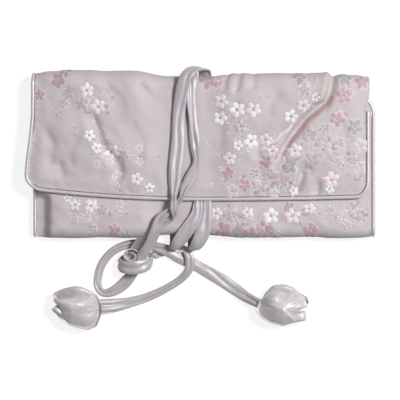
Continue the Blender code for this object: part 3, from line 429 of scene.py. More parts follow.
def smooth_route(stops, step, samples_each=8):
    """Read evenly spaced places, widths and facings from a smooth curve through the stops."""
    values = [Vector((*place, width, *Vector(facing).normalized())) for place, width, facing in stops]
    last = len(values) - 1
    samples = []
    for index in range(last):
        before, start = values[max(index - 1, 0)], values[index]
        end, after = values[index + 1], values[min(index + 2, last)]
        for part in range(samples_each):
            t = part / samples_each
            square = (2 * before - 5 * start + 4 * end - after) * t**2
            cube = (3 * start - before - 3 * end + after) * t**3
            samples.append((2 * start + (end - before) * t + square + cube) / 2)
    samples.append(values[-1])
    lengths = [0.0]
    for start, end in zip(samples, samples[1:]):
        lengths.append(lengths[-1] + (Vector(end[0:3]) - Vector(start[0:3])).length)
    count = round(lengths[-1] / step)
    route = []
    piece = 0
    for index in range(count + 1):
        target = lengths[-1] * index / count
        while piece < len(samples) - 2 and lengths[piece + 1] < target:
            piece += 1
        share = (target - lengths[piece]) / (lengths[piece + 1] - lengths[piece])
        route.append(samples[piece].lerp(samples[piece + 1], min(share, 1.0)))
    return route


def satin_height(side, rise, share, s, seed, centre):
    """Height of the tube's skin over its middle plane: crowned, pleated, creased or folded double."""
    pleated = max(math.exp(-((centre - Vector(place)).length / reach) ** 2) for place, reach in GATHERS)
    folded = smooth((DOUBLED_WIDTH - share) / 0.06) * (1 - pleated)
    # The ribbon is fuller where it bends round the pouch's bottom fold
    turning = bump(centre.y, FOLD_TURN_Y, FOLD_TURN_REACH) * (centre.z > 1.5) * (centre.x > -20)
    drift = noise.noise(Vector((s / 26, seed, 0.0)))
    half = RIBBON_THICKNESS / 2 * (1 + 0.7 * pleated)
    crown = math.copysign(mix(CROWN, PLEATED_CROWN, pleated), rise) + FOLD_TURN_CROWN * turning
    height = rise * half + crown * (1 - side * side)
    height += 0.45 * noise.noise(Vector((s / 11, side * 0.7, seed + 4.0)))
    valleys = (0.5 + 0.5 * math.cos(math.pi * (1.9 * side + 1.3 * drift + seed))) ** 1.8
    depth = GATHER_DEPTH * pleated * valleys
    depth += FOLD_DEPTH * bump(side, 0.9 * drift - 0.1, 0.3) * (1 - pleated) * (1 - folded)
    depth += DOUBLED_DEPTH * folded * bump(side, 0.15 + 0.5 * drift, 0.26)
    depth += DOUBLED_LIP * folded * smooth((side - 0.4 - 0.5 * drift) / 0.3)
    return height - depth * rise


def grid(shape, columns, rows):
    """Add a grid and list its corners, each with its share across and its share along."""
    made = bmesh.ops.create_grid(shape, x_segments=columns, y_segments=rows, size=0.5)
    return [(vert, vert.co.x + 0.5, vert.co.y + 0.5) for vert in made["verts"]]


def lay_flat(shape, layer, flat):
    """Write each corner's place on the flat cloth, which the woven threads follow."""
    for face in shape.faces:
        for loop in face.loops:
            loop[layer].uv = flat[loop.vert]


def close(shape):
    """Fill a tube's open ends and turn all faces outwards."""
    ends = [edge for edge in shape.edges if edge.is_boundary]
    bmesh.ops.holes_fill(shape, edges=ends, sides=0)
    bmesh.ops.recalc_face_normals(shape, faces=shape.faces)


def tie_tail(name, stops, seed, node):
    """Sweep a flat tube of satin along its route and close its ends."""
    route = smooth_route(stops, RIBBON_STEP)
    shape = bmesh.new()
    cloth = shape.loops.layers.uv.new("cloth")
    last = len(route) - 1
    frames = []
    for index, stop in enumerate(route):
        ahead = Vector(route[min(index + 1, last)][0:3])
        behind = Vector(route[max(index - 1, 0)][0:3])
        tangent = (ahead - behind).normalized()
        across = tangent.cross(Vector(stop[4:7])).normalized()
        frames.append((Vector(stop[0:3]), across, across.cross(tangent).normalized(), stop[3]))
    flat = {}
    for vert, around, along in grid(shape, RIBBON_SIDES, last):
        flat[vert] = (around * RIBBON_WIDTH * 2 * MM, along * last * RIBBON_STEP * MM)
        turn = 2 * math.pi * around
        index = round(along * last)
        centre, across, normal, share = frames[index]
        side = math.copysign(abs(math.cos(turn)) ** 0.85, math.cos(turn))
        rise = math.copysign(abs(math.sin(turn)) ** 0.6, math.sin(turn))
        height = satin_height(side, rise, share, index * RIBBON_STEP, seed, centre)
        vert.co = centre + across * side * RIBBON_WIDTH * share / 2 + normal * height
        vert.co.z = max(vert.co.z, RIBBON_CLEARANCE)
    lay_flat(shape, cloth, flat)
    bmesh.ops.remove_doubles(shape, verts=shape.verts, dist=0.0001)
    close(shape)
    tail = finished(name, shape, "ribbon_satin", ribbon_satin, angle=60)
    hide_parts(node)
    return tail, [place * MM for place, _, _, _ in frames]


ribbon_satin = satin("ribbon satin", (0.60, 0.562, 0.595), (0.46, 0.427, 0.455), 0.44, metallic=0.15)
right_tail, right_path = tie_tail("satin_tie_right_tail", RIGHT_TAIL_ROUTE, 0.3, "tie_right_tail")
left_tail, left_path = tie_tail("satin_tie_left_tail", LEFT_TAIL_ROUTE, 1.7, "tie_left_tail")

# The lower knot's inner fold of satin, rolled up inside its ring
KNOT_ROLL_CENTRE = (-43.6, -63.4)
KNOT_ROLL_FOOT = 2.2
KNOT_ROLL_START = -75.0
KNOT_ROLL_END = 470.0
KNOT_ROLL_OUTER_RADIUS = 5.4
KNOT_ROLL_INNER_RADIUS = 1.6
KNOT_ROLL_OUTER_RIM = 9.2
KNOT_ROLL_INNER_RIM = 8.2


def knot_roll():
    """A strip on edge, wound one turn and a half inwards."""
    shape = bmesh.new()
    for vert, along, up in grid(shape, 72, 8):
        angle = math.radians(mix(KNOT_ROLL_START, KNOT_ROLL_END, along))
        radius = mix(KNOT_ROLL_OUTER_RADIUS, KNOT_ROLL_INNER_RADIUS, along) + 0.6 * up
        rim = mix(KNOT_ROLL_OUTER_RIM, KNOT_ROLL_INNER_RIM, along) + 0.5 * math.sin(angle + 1.0)
        vert.co.x = KNOT_ROLL_CENTRE[0] + radius * math.cos(angle)
        vert.co.y = KNOT_ROLL_CENTRE[1] + radius * 0.86 * math.sin(angle)
        vert.co.z = mix(KNOT_ROLL_FOOT, rim, up)
    return shape


roll = finished("satin_knot_roll", knot_roll(), "ribbon_satin", bud_satin, angle=80)
roll_wall = roll.modifiers.new("two layers of satin", "SOLIDIFY")
roll_wall.thickness = 0.0007
roll_wall.offset = 0

# Brocade sheet: satin brocade, thin padding and a satin lining, sewn as one layer.
# It is folded in three: the front first, then the flap over it. The tie pulls in its waist.
SHEET_WIDTH = 210.0
SHEET_THICKNESS = 3.2
SEAM_THICKNESS = 1.6
SEAM_TAPER = 7.0
CORNER_RADIUS = 9.0
FOLDED_DEPTH = 101.6
FRONT_SETBACK = 14.6
FLAP_REACH = 76.4
BODY_SHIFT = 2.6
FLAP_SHIFT = 1.6
FLAP_FLARE = 4.4
FLAP_FLARE_RUN = 0.78
TOP_FOLD_RISE = 2.2
FOLD_END_DROP = 1.3
BACK_LEVEL = 1.85
FRONT_LEVEL = 10.8
FLAP_LEVEL = 14.5
BOTTOM_RADIUS = (FRONT_LEVEL - BACK_LEVEL) / 2
TOP_RADIUS = (FLAP_LEVEL - BACK_LEVEL) / 2
HALF = SHEET_THICKNESS / 2
TIE_CENTRE = -8.0
FRONT_RUN = 80.8
BOTTOM_RUN = 14.5
BACK_RUN = 86.7
TOP_RUN = 20.3
FLAP_RUN = 68.4
FRONT_END_SAG = 5.6
FRONT_SAG_START = -92.5
FRONT_SAG_RUN = 6.5
WAIST_HALF_WIDTH = 12.0
WAIST_EASE = 20.0
WAIST_UNEVENNESS = 5.0
SWELL_RUN = 26.0
FLAP_FALL_RUN = 30.0
CREASE_END_RUN = 12.0
UNDER_FLAP = 3.0
BARE_RUN = 9.0
FLAP_FULLNESS = 2.6
FRONT_FULLNESS = 1.8
FLAP_PULLED_IN = 0.8
FRONT_PULLED_IN = 0.6
BACK_PULLED_IN = 2.1
BACK_DRAWN_IN = 3.6
TOP_DRAWN_IN = 0.2
FLAP_DRAWN_IN = 2.6
FLAP_CORNER_CUT = 0.68
# Two folds across the front's left end: height, place along X and width
FRONT_END_FOLDS = ((0.5, -89.0, 3.6), (-0.8, -81.0, 3.0))

# Creases: a line of points, the height of the puffed side, the valley's depth, and the valley's
# width on the right and on the left of the line
CREASES = (
    (((85.2, 60.0), (83.6, 50.5), (80.9, 38.6), (78.4, 33.0), (72.6, 29.6), (65.2, 22.6), (59.3, 15.2),
      (53.4, 6.3), (50.4, 1.2), (46.0, -6.0)), 1.1, 4.4, 3.2, 1.8),
    (((64.4, -10.2), (62.2, -17.4), (59.3, -24.0)), 0.3, 3.0, 2.6, 1.8),
    (((74.2, -17.0), (73.4, -25.4)), 0.2, 2.6, 2.0, 3.6),
    (((62.2, -10.0), (66.0, -8.6), (71.0, -9.4)), 0.3, 1.2, 2.0, 3.6),
    (((40.0, 12.4), (36.4, 3.3), (37.0, -3.4)), 0.2, 1.4, 2.0, 4.0),
    (((41.0, -5.0), (38.0, -12.0), (40.0, -20.0)), 0.0, 1.2, 2.4, 4.0),
    (((88.0, 22.0), (92.0, 8.0), (90.0, -6.0)), 0.2, 0.8, 3.0, 5.0),
    (((-68.6, 26.4), (-64.9, 18.2), (-61.2, 7.8), (-51.0, -5.4), (-49.4, -11.6), (-55.4, -19.0)),
     0.2, 2.3, 2.4, 4.5),
    (((-38.4, 45.6), (-31.6, 37.4), (-24.2, 30.0)), 0.0, 1.5, 2.2, 5.0),
    (((-27.8, 44.2), (-16.8, 49.2)), 0.2, 1.4, 2.2, 3.0),
    (((18.0, 50.2), (14.0, 40.4)), 0.1, 1.6, 1.8, 2.6),
    (((26.0, 49.0), (21.4, 38.0)), 0.1, 1.4, 1.8, 2.6),
    (((34.0, 49.0), (33.0, 41.0)), 0.1, 0.9, 1.8, 3.0),
    (((10.0, 36.0), (13.0, 18.0), (11.0, 2.0)), 0.0, 1.2, 2.6, 4.0),
    (((24.0, 34.0), (19.0, 24.0), (8.0, 18.0)), 0.0, 0.8, 2.2, 3.0),
    (((50.0, 40.0), (44.0, 32.0), (44.0, 22.0)), 0.0, 0.7, 2.2, 4.0),
    (((-89.4, -4.0), (-85.6, -14.4)), 0.0, 1.2, 2.6, 6.0),
    (((-76.0, 12.0), (-82.0, 2.0), (-80.0, -10.0)), 0.0, 1.1, 2.6, 7.0),
    (((-100.0, 20.0), (-92.0, 6.0), (-95.0, -10.0)), 0.0, 1.2, 2.6, 6.0),
    (((-44.0, 22.0), (-36.0, 8.0), (-38.0, -8.0)), 0.0, 1.0, 2.6, 7.0),
    (((-60.0, 44.0), (-50.0, 36.0), (-46.0, 24.0)), 0.0, 0.8, 2.4, 6.0),
    (((-26.0, -4.0), (-30.0, -14.0), (-24.0, -22.0)), 0.0, 0.9, 2.4, 5.0),
)


def end_share(x):
    return min(max((x - BODY_SHIFT) / (SHEET_WIDTH / 2), -1.0), 1.0)


def top_line(x):
    return FOLDED_DEPTH / 2 - FOLD_END_DROP / 2 + TOP_FOLD_RISE * smooth(-end_share(x) * 1.1)


def bottom_line(x):
    return -FOLDED_DEPTH / 2 - FOLD_END_DROP * abs(end_share(x)) ** 3


def flap_edge_line(x):
    share = end_share(x)
    return FOLDED_DEPTH / 2 - FLAP_REACH - FOLD_END_DROP / 2 + (6.2 if share < 0 else 1.6) * share**2


def corner_inset(distance, radius):
    """How far a rounded corner draws a side in, at a distance from the corner's end."""
    if distance >= radius:
        return 0.0
    return radius - math.sqrt(radius**2 - (radius - max(distance, 0.0)) ** 2)


def limits(x):
    """Where the flat parts of the fold begin and end along Y, and both free edges."""
    low = bottom_line(x) + BOTTOM_RADIUS + HALF
    high = top_line(x) - TOP_RADIUS - HALF
    front = bottom_line(x) + FOLDED_DEPTH - FRONT_SETBACK
    return low, high, front, flap_edge_line(x)


def sheet_sides(zone, share, distance):
    """Left and right side of the sheet in a row."""
    shift, flare, drawn = BODY_SHIFT, 0.0, 0.0
    if zone == "back":
        drawn = BACK_DRAWN_IN * smooth((share - 0.78) / 0.1)
    if zone == "top":
        shift = mix(BODY_SHIFT, FLAP_SHIFT, share)
        drawn = mix(BACK_DRAWN_IN, TOP_DRAWN_IN, smooth(share))
    if zone == "flap":
        shift = FLAP_SHIFT
        flare = FLAP_FLARE * smooth(1 - (1 - share) / FLAP_FLARE_RUN)
        drawn = mix(TOP_DRAWN_IN, FLAP_DRAWN_IN, smooth((share - 0.03) / 0.2))
    inset = corner_inset(distance, CORNER_RADIUS)
    cut = inset * (FLAP_CORNER_CUT if zone == "flap" else 1.0)
    return shift - SHEET_WIDTH / 2 - flare + inset, shift + SHEET_WIDTH / 2 - cut - drawn


CREASE_REACH = 10.0
CREASE_BOXES = [
    (
        min(x for x, _ in line) - CREASE_REACH,
        max(x for x, _ in line) + CREASE_REACH,
        min(y for _, y in line) - CREASE_REACH,
        max(y for _, y in line) + CREASE_REACH,
    )
    for line, *_ in CREASES
]


def crease_height(x, y):
    """A valley along each crease line, steep on one side, with a puffed strip on its left."""
    height = 0.0
    for (line, ridge, valley, right_width, left_width), box in zip(CREASES, CREASE_BOXES):
        left, right, low, high = box
        if not (left < x < right and low < y < high):
            continue
        nearest = None
        total = len(line) - 1
        for index in range(total):
            (ax, ay), (bx, by) = line[index], line[index + 1]
            run_x, run_y = bx - ax, by - ay
            length = math.hypot(run_x, run_y)
            along = ((x - ax) * run_x + (y - ay) * run_y) / length**2
            across = ((x - ax) * run_y - (y - ay) * run_x) / length
            held = min(max(along, 0.0), 1.0)
            gap = math.hypot(x - ax - run_x * held, y - ay - run_y * held)
            if nearest is None or gap < nearest[0]:
                nearest = (gap, math.copysign(gap, across), (index + held) / total, along, length)
        gap, side, place, along, length = nearest
        over = max(-along, along - 1, 0.0) * length if place in (0.0, 1.0) else 0.0
        fade = smooth(1 - over / 6) * smooth(place * 5 + 0.35) * smooth((1 - place) * 4 + 0.25)
        fade *= smooth((CREASE_REACH - gap) / 3)
        if side > 0:
            height += fade * ridge * bump(side, left_width + 1.6, 2.8)
            height -= fade * valley * math.exp(-((side / left_width) ** 2))
        else:
            height -= fade * valley * math.exp(-((side / right_width) ** 2))
    return height


def fabric_detail(x, y, seam, seed):
    """Soft waves of the padding, fine wrinkles, and puckers along the seams."""
    waves = 1.0 * noise.noise(Vector((x / 27, y / 22, seed)))
    wrinkles = 0.5 * noise.noise(Vector((x / 8.5 + y / 30, y / 14, seed + 7)))
    wrinkles -= 0.7 * max(noise.noise(Vector((x / 15 + y / 11, y / 24 - x / 40, seed + 11))), 0.0)
    pucker = 0.7 * math.exp(-seam / 5.0) * noise.noise(Vector((x / 3.6, y / 3.6, seed + 2)))
    return (waves + wrinkles) * smooth(seam / 9) + pucker * smooth(seam / 1.6)


def waist(x, y):
    """Where the tie draws the pouch in, with an uneven edge."""
    drift = WAIST_UNEVENNESS * noise.noise(Vector((y / 24, 3.0, 0.0 if x < TIE_CENTRE else 8.0)))
    return 1 - smooth((abs(x - TIE_CENTRE) + drift - WAIST_HALF_WIDTH) / WAIST_EASE)


def fullness(x, y, zone, side, seam, share):
    """How far the padding stands out of the sheet's middle, beyond its own thickness."""
    swell = smooth(side / SWELL_RUN)
    pulled = waist(x, y)
    detail = fabric_detail(x, y, seam, {"flap": 1.0, "front": 5.0}.get(zone, 9.0))
    if zone == "flap":
        fall = smooth((y - flap_edge_line(x)) / FLAP_FALL_RUN)
        creases = crease_height(x, y) * smooth(side / CREASE_END_RUN)
        height = FLAP_FULLNESS * swell * fall + creases + detail
        return mix(height, -FLAP_PULLED_IN + 0.5 * detail, pulled)
    if zone == "front":
        bare = smooth((flap_edge_line(x) - UNDER_FLAP - y) / BARE_RUN)
        folds = sum(rise * bump(x, place, width) for rise, place, width in FRONT_END_FOLDS)
        height = (FRONT_FULLNESS * swell + folds + detail) * bare
        return mix(height, -FRONT_PULLED_IN + 0.4 * detail * bare, pulled)
    if zone == "bottom":
        height = (FRONT_FULLNESS * (1 - smooth(share)) + detail * (1 - share)) * swell
        return mix(height, -mix(FRONT_PULLED_IN, BACK_PULLED_IN, smooth(share * 2 - 1)), pulled)
    if zone == "back":
        return mix(0.0, -BACK_PULLED_IN, pulled)
    creases = crease_height(x, y) * smooth(side / CREASE_END_RUN)
    height = (FLAP_FULLNESS * swell + creases + detail) * smooth(share)
    return mix(height, -mix(BACK_PULLED_IN, FLAP_PULLED_IN, smooth(share * 2)), pulled)


def edge_distance(zone, share):
    """Distance from the sheet's free edge, on the nominal run of a zone."""
    if zone == "front":
        return FRONT_RUN * share
    if zone == "flap":
        return FLAP_RUN * (1 - share)
    return FLAP_RUN


def cloth_at(x, zone, share, proud=0.0):
    """Outer and inner point of the sheet at x, in a zone, at a share of its run."""
    low, high, front, flap_edge = limits(x)
    distance = edge_distance(zone, share)
    if zone == "front":
        y, z, out = mix(front, low, share), FRONT_LEVEL, (0.0, 1.0)
    elif zone == "bottom":
        turn = math.pi * share
        y = low - BOTTOM_RADIUS * math.sin(turn)
        z = (FRONT_LEVEL + BACK_LEVEL) / 2 + BOTTOM_RADIUS * math.cos(turn)
        out = (-math.sin(turn), math.cos(turn))
    elif zone == "back":
        y, z, out = mix(low, high, share), BACK_LEVEL, (0.0, -1.0)
    elif zone == "top":
        turn = math.pi * share
        y = high + TOP_RADIUS * math.sin(turn)
        z = (FLAP_LEVEL + BACK_LEVEL) / 2 - TOP_RADIUS * math.cos(turn)
        out = (math.sin(turn), -math.cos(turn))
    else:
        y, z, out = mix(high, flap_edge, share), FLAP_LEVEL, (0.0, 1.0)
    left, right = sheet_sides(zone, share, distance)
    side = min(x - left, right - x)
    seam = side
    if zone in ("front", "flap"):
        seam = min(side, distance)
    if zone in ("front", "bottom"):
        sunk = FRONT_END_SAG * smooth((FRONT_SAG_START - x) / FRONT_SAG_RUN)
        sunk *= smooth((flap_edge - 2.0 - y) / 5.0)
        z -= sunk * (1 - smooth(share / 0.8) if zone == "bottom" else 1.0)
    half = mix(SEAM_THICKNESS, SHEET_THICKNESS, smooth(seam / SEAM_TAPER)) / 2
    stand = half + fullness(x, y, zone, side, seam, share) + proud
    outer = Vector((x, y + out[0] * stand, z + out[1] * stand))
    return outer, Vector((x, y - out[0] * half, z - out[1] * half))


def free_edge_shares(run, count):
    """Shares of a run from its free edge: close together on the corner's arc, then even."""
    arc = [CORNER_RADIUS * (1 - math.cos(math.pi / 2 * step / 9)) / run for step in range(9)]
    start = CORNER_RADIUS / run
    return arc + [mix(start, 1.0, step / count) for step in range(count)]


sheet_rows = [("front", share) for share in free_edge_shares(FRONT_RUN, 50)]
sheet_rows += [("bottom", step / 16) for step in range(17)]
sheet_rows += [("back", step / 22) for step in range(1, 22)]
sheet_rows += [("top", step / 20) for step in range(21)]
sheet_rows += [("flap", 1 - share) for share in reversed(free_edge_shares(FLAP_RUN, 68))]
run_lengths = {
    "front": FRONT_RUN,
    "bottom": BOTTOM_RUN,
    "back": BACK_RUN,
    "top": TOP_RUN,
    "flap": FLAP_RUN,
}
SHEET_COLUMNS = 214


def brocade_sheet():
    """Outer cloth and lining as two grids, joined along the whole edge."""
    shape = bmesh.new()
    cloth = shape.loops.layers.uv.new("cloth")
    last = len(sheet_rows) - 1
    run_starts, run_end = {}, 0.0
    for zone, length in run_lengths.items():
        run_starts[zone] = run_end
        run_end += length
    flat, places = {}, {}
    for layer in (0, 1):
        for vert, across, along in grid(shape, SHEET_COLUMNS, last):
            row = round(along * last)
            zone, share = sheet_rows[row]
            run = run_starts[zone] + share * run_lengths[zone]
            flat[vert] = (across * SHEET_WIDTH * MM, run * MM)
            key = (round(across * SHEET_COLUMNS), row)
            if key not in places:
                left, right = sheet_sides(zone, share, edge_distance(zone, share))
                places[key] = cloth_at(mix(left, right, across), zone, share)
            vert.co = places[key][layer]
            for face in vert.link_faces:
                face.material_index = layer
    bmesh.ops.bridge_loops(shape, edges=[edge for edge in shape.edges if edge.is_boundary])
    lay_flat(shape, cloth, flat)
    bmesh.ops.recalc_face_normals(shape, faces=shape.faces)
    return shape


brocade_ground = satin("brocade ground", (0.64, 0.572, 0.578), (0.54, 0.478, 0.485), 0.62, 0.00006, 0.0)
woven(brocade_ground, "Y", 900, 1.5, "UV", 0.00005, 0.35)
lining_satin = satin("lining satin", (0.66, 0.60, 0.62), (0.58, 0.52, 0.54), 0.36)
sheet = finished("brocade_sheet", brocade_sheet(), "brocade", brocade_ground, lining_satin, angle=70)
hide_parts("folded_sheet")

# Blossoms: sprays of five-petalled blossoms, leaves, buds and twigs woven into the brocade.
# Their silk floats a little above the ground, in dusty pink, pale pink, silver and grey.
# A dark rim under each raised blossom is painted shade between its petals.
THREADS_AND_PAINTED_SHADE = {
    "w": (0.86, 0.84, 0.845),
    "p": (0.84, 0.73, 0.78),
    "l": (0.66, 0.55, 0.62),
    "d": (0.55, 0.375, 0.415),
    "g": (0.43, 0.425, 0.41),
    "e": (0.74, 0.68, 0.69),
    "heart": (0.50, 0.40, 0.42),
    # gap is painted shade: a dark rim that stands for the shadow between raised petals
    "gap": (0.42, 0.36, 0.37),
}
# Each blossom: place, radius and thread. A leading o marks one that is only outlined.
FLAP_BLOSSOMS = (
    (13.0, 33.4, 5.0, 'p'), (23.4, 28.2, 5.2, 'w'), (33.4, 28.2, 5.2, 'p'), (12.6, 23.0, 4.9, 'w'),
    (25.6, 17.8, 4.2, 'l'), (64.5, 30.8, 4.6, 'p'), (56.7, 24.1, 4.6, 'w'), (66.0, 40.3, 4.2, 'og'),
    (71.9, 36.1, 3.2, 'p'), (90.5, 37.5, 5.9, 'd'), (86.0, 22.6, 5.4, 'd'), (97.1, 17.8, 5.3, 'g'),
    (78.2, 16.7, 3.7, 'og'), (68.6, 12.3, 5.8, 'od'), (100.6, 5.6, 4.9, 'op'), (59.3, 2.6, 5.0, 'w'),
    (45.2, 2.2, 4.2, 'p'), (31.9, 8.5, 4.9, 'w'), (23.6, 5.7, 3.6, 'w'), (18.5, -2.2, 4.6, 'p'),
    (77.1, 3.4, 6.1, 'op'), (69.7, -3.7, 5.9, 'od'), (56.0, -7.0, 5.6, 'g'), (17.8, -11.5, 4.2, 'd'),
    (20.4, -22.6, 4.4, 'op'), (28.2, -18.9, 4.4, 'd'), (37.8, -20.4, 4.7, 'og'),
    (51.2, -15.2, 5.8, 'od'), (82.3, -15.6, 5.5, 'p'), (81.2, -21.5, 3.4, 'w'), (58.6, -22.6, 3.6, 'p'),
    (62.3, 47.5, 4.7, 'd'), (91.2, 46.4, 4.7, 'g'), (101.6, 45.3, 4.8, 'd'), (5.2, 46.4, 5.6, 'd'),
    (46.4, -24.0, 3.4, 'ow'), (34.1, -11.5, 3.3, 'g'), (41.5, -4.1, 4.4, 'd'), (41.0, 9.5, 4.4, 'p'),
    (43.8, -11.1, 3.4, 'od'), (87.5, 8.5, 3.3, 'og'), (100.4, -7.0, 3.6, 'op'), (96.4, -3.3, 3.3, 'og'),
    (86.8, -4.1, 3.3, 'og'), (6.7, -18.9, 1.9, 'ow'), (12.6, -8.8, 1.6, 'ow'),
    (-88.7, 46.0, 4.7, 'd'), (-83.9, 51.0, 4.2, 'g'), (-100.5, 37.5, 3.9, 'd'),
    (-82.7, 38.2, 3.9, 'od'), (-85.7, 32.3, 3.7, 'og'), (-70.9, 40.4, 4.9, 'p'),
    (-73.8, 32.3, 4.9, 'og'), (-63.8, 30.4, 5.3, 'p'), (-58.3, 30.4, 2.2, 'd'),
    (-69.4, 12.3, 4.2, 'w'), (-64.9, 4.1, 4.0, 'w'), (-55.3, 1.9, 5.2, 'p'), (-47.7, -0.3, 3.9, 'og'),
    (-38.2, 4.0, 2.8, 'ow'), (-38.2, -4.2, 2.8, 'ow'), (-64.9, -6.3, 2.8, 'op'),
    (-56.6, -4.9, 3.3, 'op'), (-52.0, -13.0, 3.0, 'ow'), (-39.7, -15.2, 4.4, 'p'),
    (-31.6, -21.0, 3.7, 'w'),
)
FRONT_BLOSSOMS = (
    (10.0, -36.7, 4.6, 'p'), (21.5, -38.9, 4.9, 'og'), (29.7, -35.9, 4.4, 'p'), (44.5, -38.2, 5.5, 'w'),
    (57.8, -38.2, 5.6, 'p'), (68.6, -33.5, 4.0, 'p'), (56.0, -32.9, 4.0, 'd'), (14.8, -47.1, 5.6, 'd'),
    (26.0, -47.1, 5.3, 'g'), (39.3, -46.3, 5.6, 'd'), (47.5, -50.8, 3.3, 'd'), (69.3, -47.2, 5.3, 'd'),
    (95.7, -33.4, 4.7, 'od'), (101.6, -38.2, 4.4, 'g'), (92.0, -44.1, 3.3, 'od'),
    (81.6, -34.5, 3.0, 'og'), (98.7, -35.9, 3.7, 'op'), (8.9, -51.5, 3.7, 'd'),
    (-83.5, -27.2, 3.0, 'p'), (-78.7, -31.4, 4.2, 'w'), (-68.3, -31.9, 5.0, 'p'),
    (-61.1, -34.6, 4.0, 'og'), (-50.5, -30.5, 3.0, 'op'), (-51.2, -36.5, 2.5, 'ow'),
    (-71.6, -38.8, 3.7, 'op'), (-78.7, -41.0, 2.7, 'op'), (-66.8, -46.2, 3.0, 'od'),
    (-53.8, -46.2, 4.0, 'd'), (-45.7, -49.0, 3.6, 'og'),
)
# Each spray of loose leaves and petals: middle, half size, count, lean in degrees and threads
SPRAYS = (
    ((47.0, -4.0), (9.0, 17.0), 66, 55, "ppeedlw"),
    ((62.0, 3.0), (15.0, 11.0), 60, 30, "ppdgeel"),
    ((80.0, 2.0), (12.0, 14.0), 40, -20, "pgeeed"),
    ((98.0, 0.0), (5.0, 17.0), 30, -35, "ppeed"),
    ((68.0, 38.0), (8.0, 9.0), 34, 45, "pweeg"),
    ((28.0, -18.0), (13.0, 8.0), 34, -25, "pedde"),
    ((46.0, -19.0), (14.0, 6.0), 36, -20, "pwegd"),
    ((80.0, 24.0), (15.0, 10.0), 18, 25, "eedg"),
    ((24.0, 20.0), (9.0, 9.0), 20, 30, "lpwe"),
    ((30.0, 6.0), (11.0, 7.0), 22, 25, "wwpe"),
    ((41.0, 38.0), (9.0, 4.0), 8, -10, "wge"),
    ((14.0, 42.0), (10.0, 7.0), 14, 60, "pede"),
    ((-64.0, 34.0), (12.0, 10.0), 26, -50, "pdeg"),
    ((-66.0, 8.0), (8.0, 14.0), 24, -60, "weeg"),
    ((-52.0, -8.0), (10.0, 12.0), 22, -45, "peew"),
    ((-84.0, 42.0), (9.0, 7.0), 14, -30, "dge"),
)
FRONT_SPRAYS = (
    ((20.0, -38.0), (14.0, 6.0), 44, -50, "ppeewd"),
    ((32.0, -46.0), (18.0, 4.5), 26, 0, "pddge"),
    ((60.0, -35.0), (10.0, 4.0), 20, -10, "pdde"),
    ((84.0, -37.0), (14.0, 7.0), 30, -25, "eegw"),
    ((98.0, -35.0), (6.0, 5.0), 20, 10, "ppdde"),
    ((-74.0, -35.0), (12.0, 7.0), 26, -40, "peew"),
    ((-50.0, -38.0), (8.0, 10.0), 12, -20, "eed"),
)
# Twigs: a line of points on the flap or the front, drawn with one thin silk thread
FLAP_TWIGS = (
    ((-101.8, 34.0), (-89.0, 25.9), (-79.2, 18.0)),
    ((-49.0, -1.2), (-36.0, -0.6), (-26.4, 0.3)),
    ((-63.2, -6.3), (-55.3, -14.0), (-48.7, -21.4)),
    ((-72.0, 36.0), (-66.0, 22.0), (-60.0, 6.0), (-52.0, -4.0)),
    ((0.9, 11.5), (5.7, 5.0), (13.8, -1.2)),
    ((2.5, 0.3), (10.7, -0.6), (16.3, -1.0)),
    ((47.0, 13.2), (41.0, 7.0), (36.4, 2.0), (39.6, -9.4)),
    ((5.6, -12.6), (14.0, -15.0), (25.0, -15.7)),
    ((76.0, 12.0), (86.0, 5.0), (100.0, 8.0)),
    ((82.0, 20.0), (92.0, 10.0), (98.0, 0.0)),
    ((78.0, -4.0), (90.0, -8.0), (103.0, -11.0)),
    ((66.0, -10.0), (76.0, -14.0), (92.0, -12.0)),
    ((58.0, 42.0), (66.0, 34.0), (74.0, 38.0)),
    ((18.0, 14.0), (27.0, 12.0), (36.0, 11.0)),
    ((22.0, -6.0), (30.0, 1.0), (36.0, 8.0)),
    ((30.0, -24.0), (40.0, -16.0), (52.0, -20.0)),
)
FRONT_TWIGS = (
    ((-82.4, -29.5), (-73.0, -38.0), (-64.8, -45.0)),
    ((-58.0, -36.5), (-50.0, -35.6), (-45.6, -36.4)),
    ((72.9, -38.3), (89.3, -36.5), (104.0, -33.8)),
    ((79.0, -45.0), (90.0, -41.4), (103.0, -45.0)),
    ((8.0, -42.0), (20.0, -34.0), (34.0, -42.0)),
    ((50.0, -33.0), (62.0, -42.0), (76.0, -36.0)),
)

# Narrow woven bands of dusty and pale pink beside the long crease, partly painted light: the dusty pink band
# is woven pattern and painted shade in the valley, the pale pink one woven pattern and painted highlight on
# the puffed ridge.
# Each band: points, width and thread
CREASE_BANDS_OF_PATTERN_AND_PAINTED_LIGHT = (
    (((82.6, 37.0), (80.0, 31.2), (74.4, 27.4), (67.0, 20.4), (61.1, 13.2), (55.2, 4.4), (52.2, -0.6)),
     3.0, "d"),
    (((57.6, 18.6), (52.0, 13.4), (47.0, 9.2), (41.6, 6.0), (37.4, 3.4)), 2.4, "p"),
)
RAISED_SILK = 0.34
FLAT_SILK = 0.2
LEAF_SILK = 0.16
RIM_SILK = 0.12
GROUND_SILK = 0.08
TWIG_SILK = 0.14
TWIG_WIDTH = 0.5
SILK_CLEARANCE = 0.05
BACK_BLOSSOMS = 52


def on_flap(x, y, proud):
    _, high, _, flap_edge = limits(x)
    if y <= high:
        return cloth_at(x, "flap", (high - y) / (high - flap_edge), proud)[0]
    turn = (y - high) / (math.pi * TOP_RADIUS)
    return cloth_at(x, "top", 1 - turn, proud)[0]


def on_front(x, y, proud):
    low, _, front, _ = limits(x)
    if y >= low:
        return cloth_at(x, "front", (front - y) / (front - low), proud)[0]
    return cloth_at(x, "bottom", min((low - y) / (math.pi * BOTTOM_RADIUS), 1.0), proud)[0]


def on_back(x, y, proud):
    low, high, _, _ = limits(x)
    return cloth_at(x, "back", (y - low) / (high - low), proud)[0]


def new_silk():
    """An empty bmesh whose corners carry the colour of their thread."""
    shape = bmesh.new()
    shape.verts.layers.float_color.new("thread")
    return shape


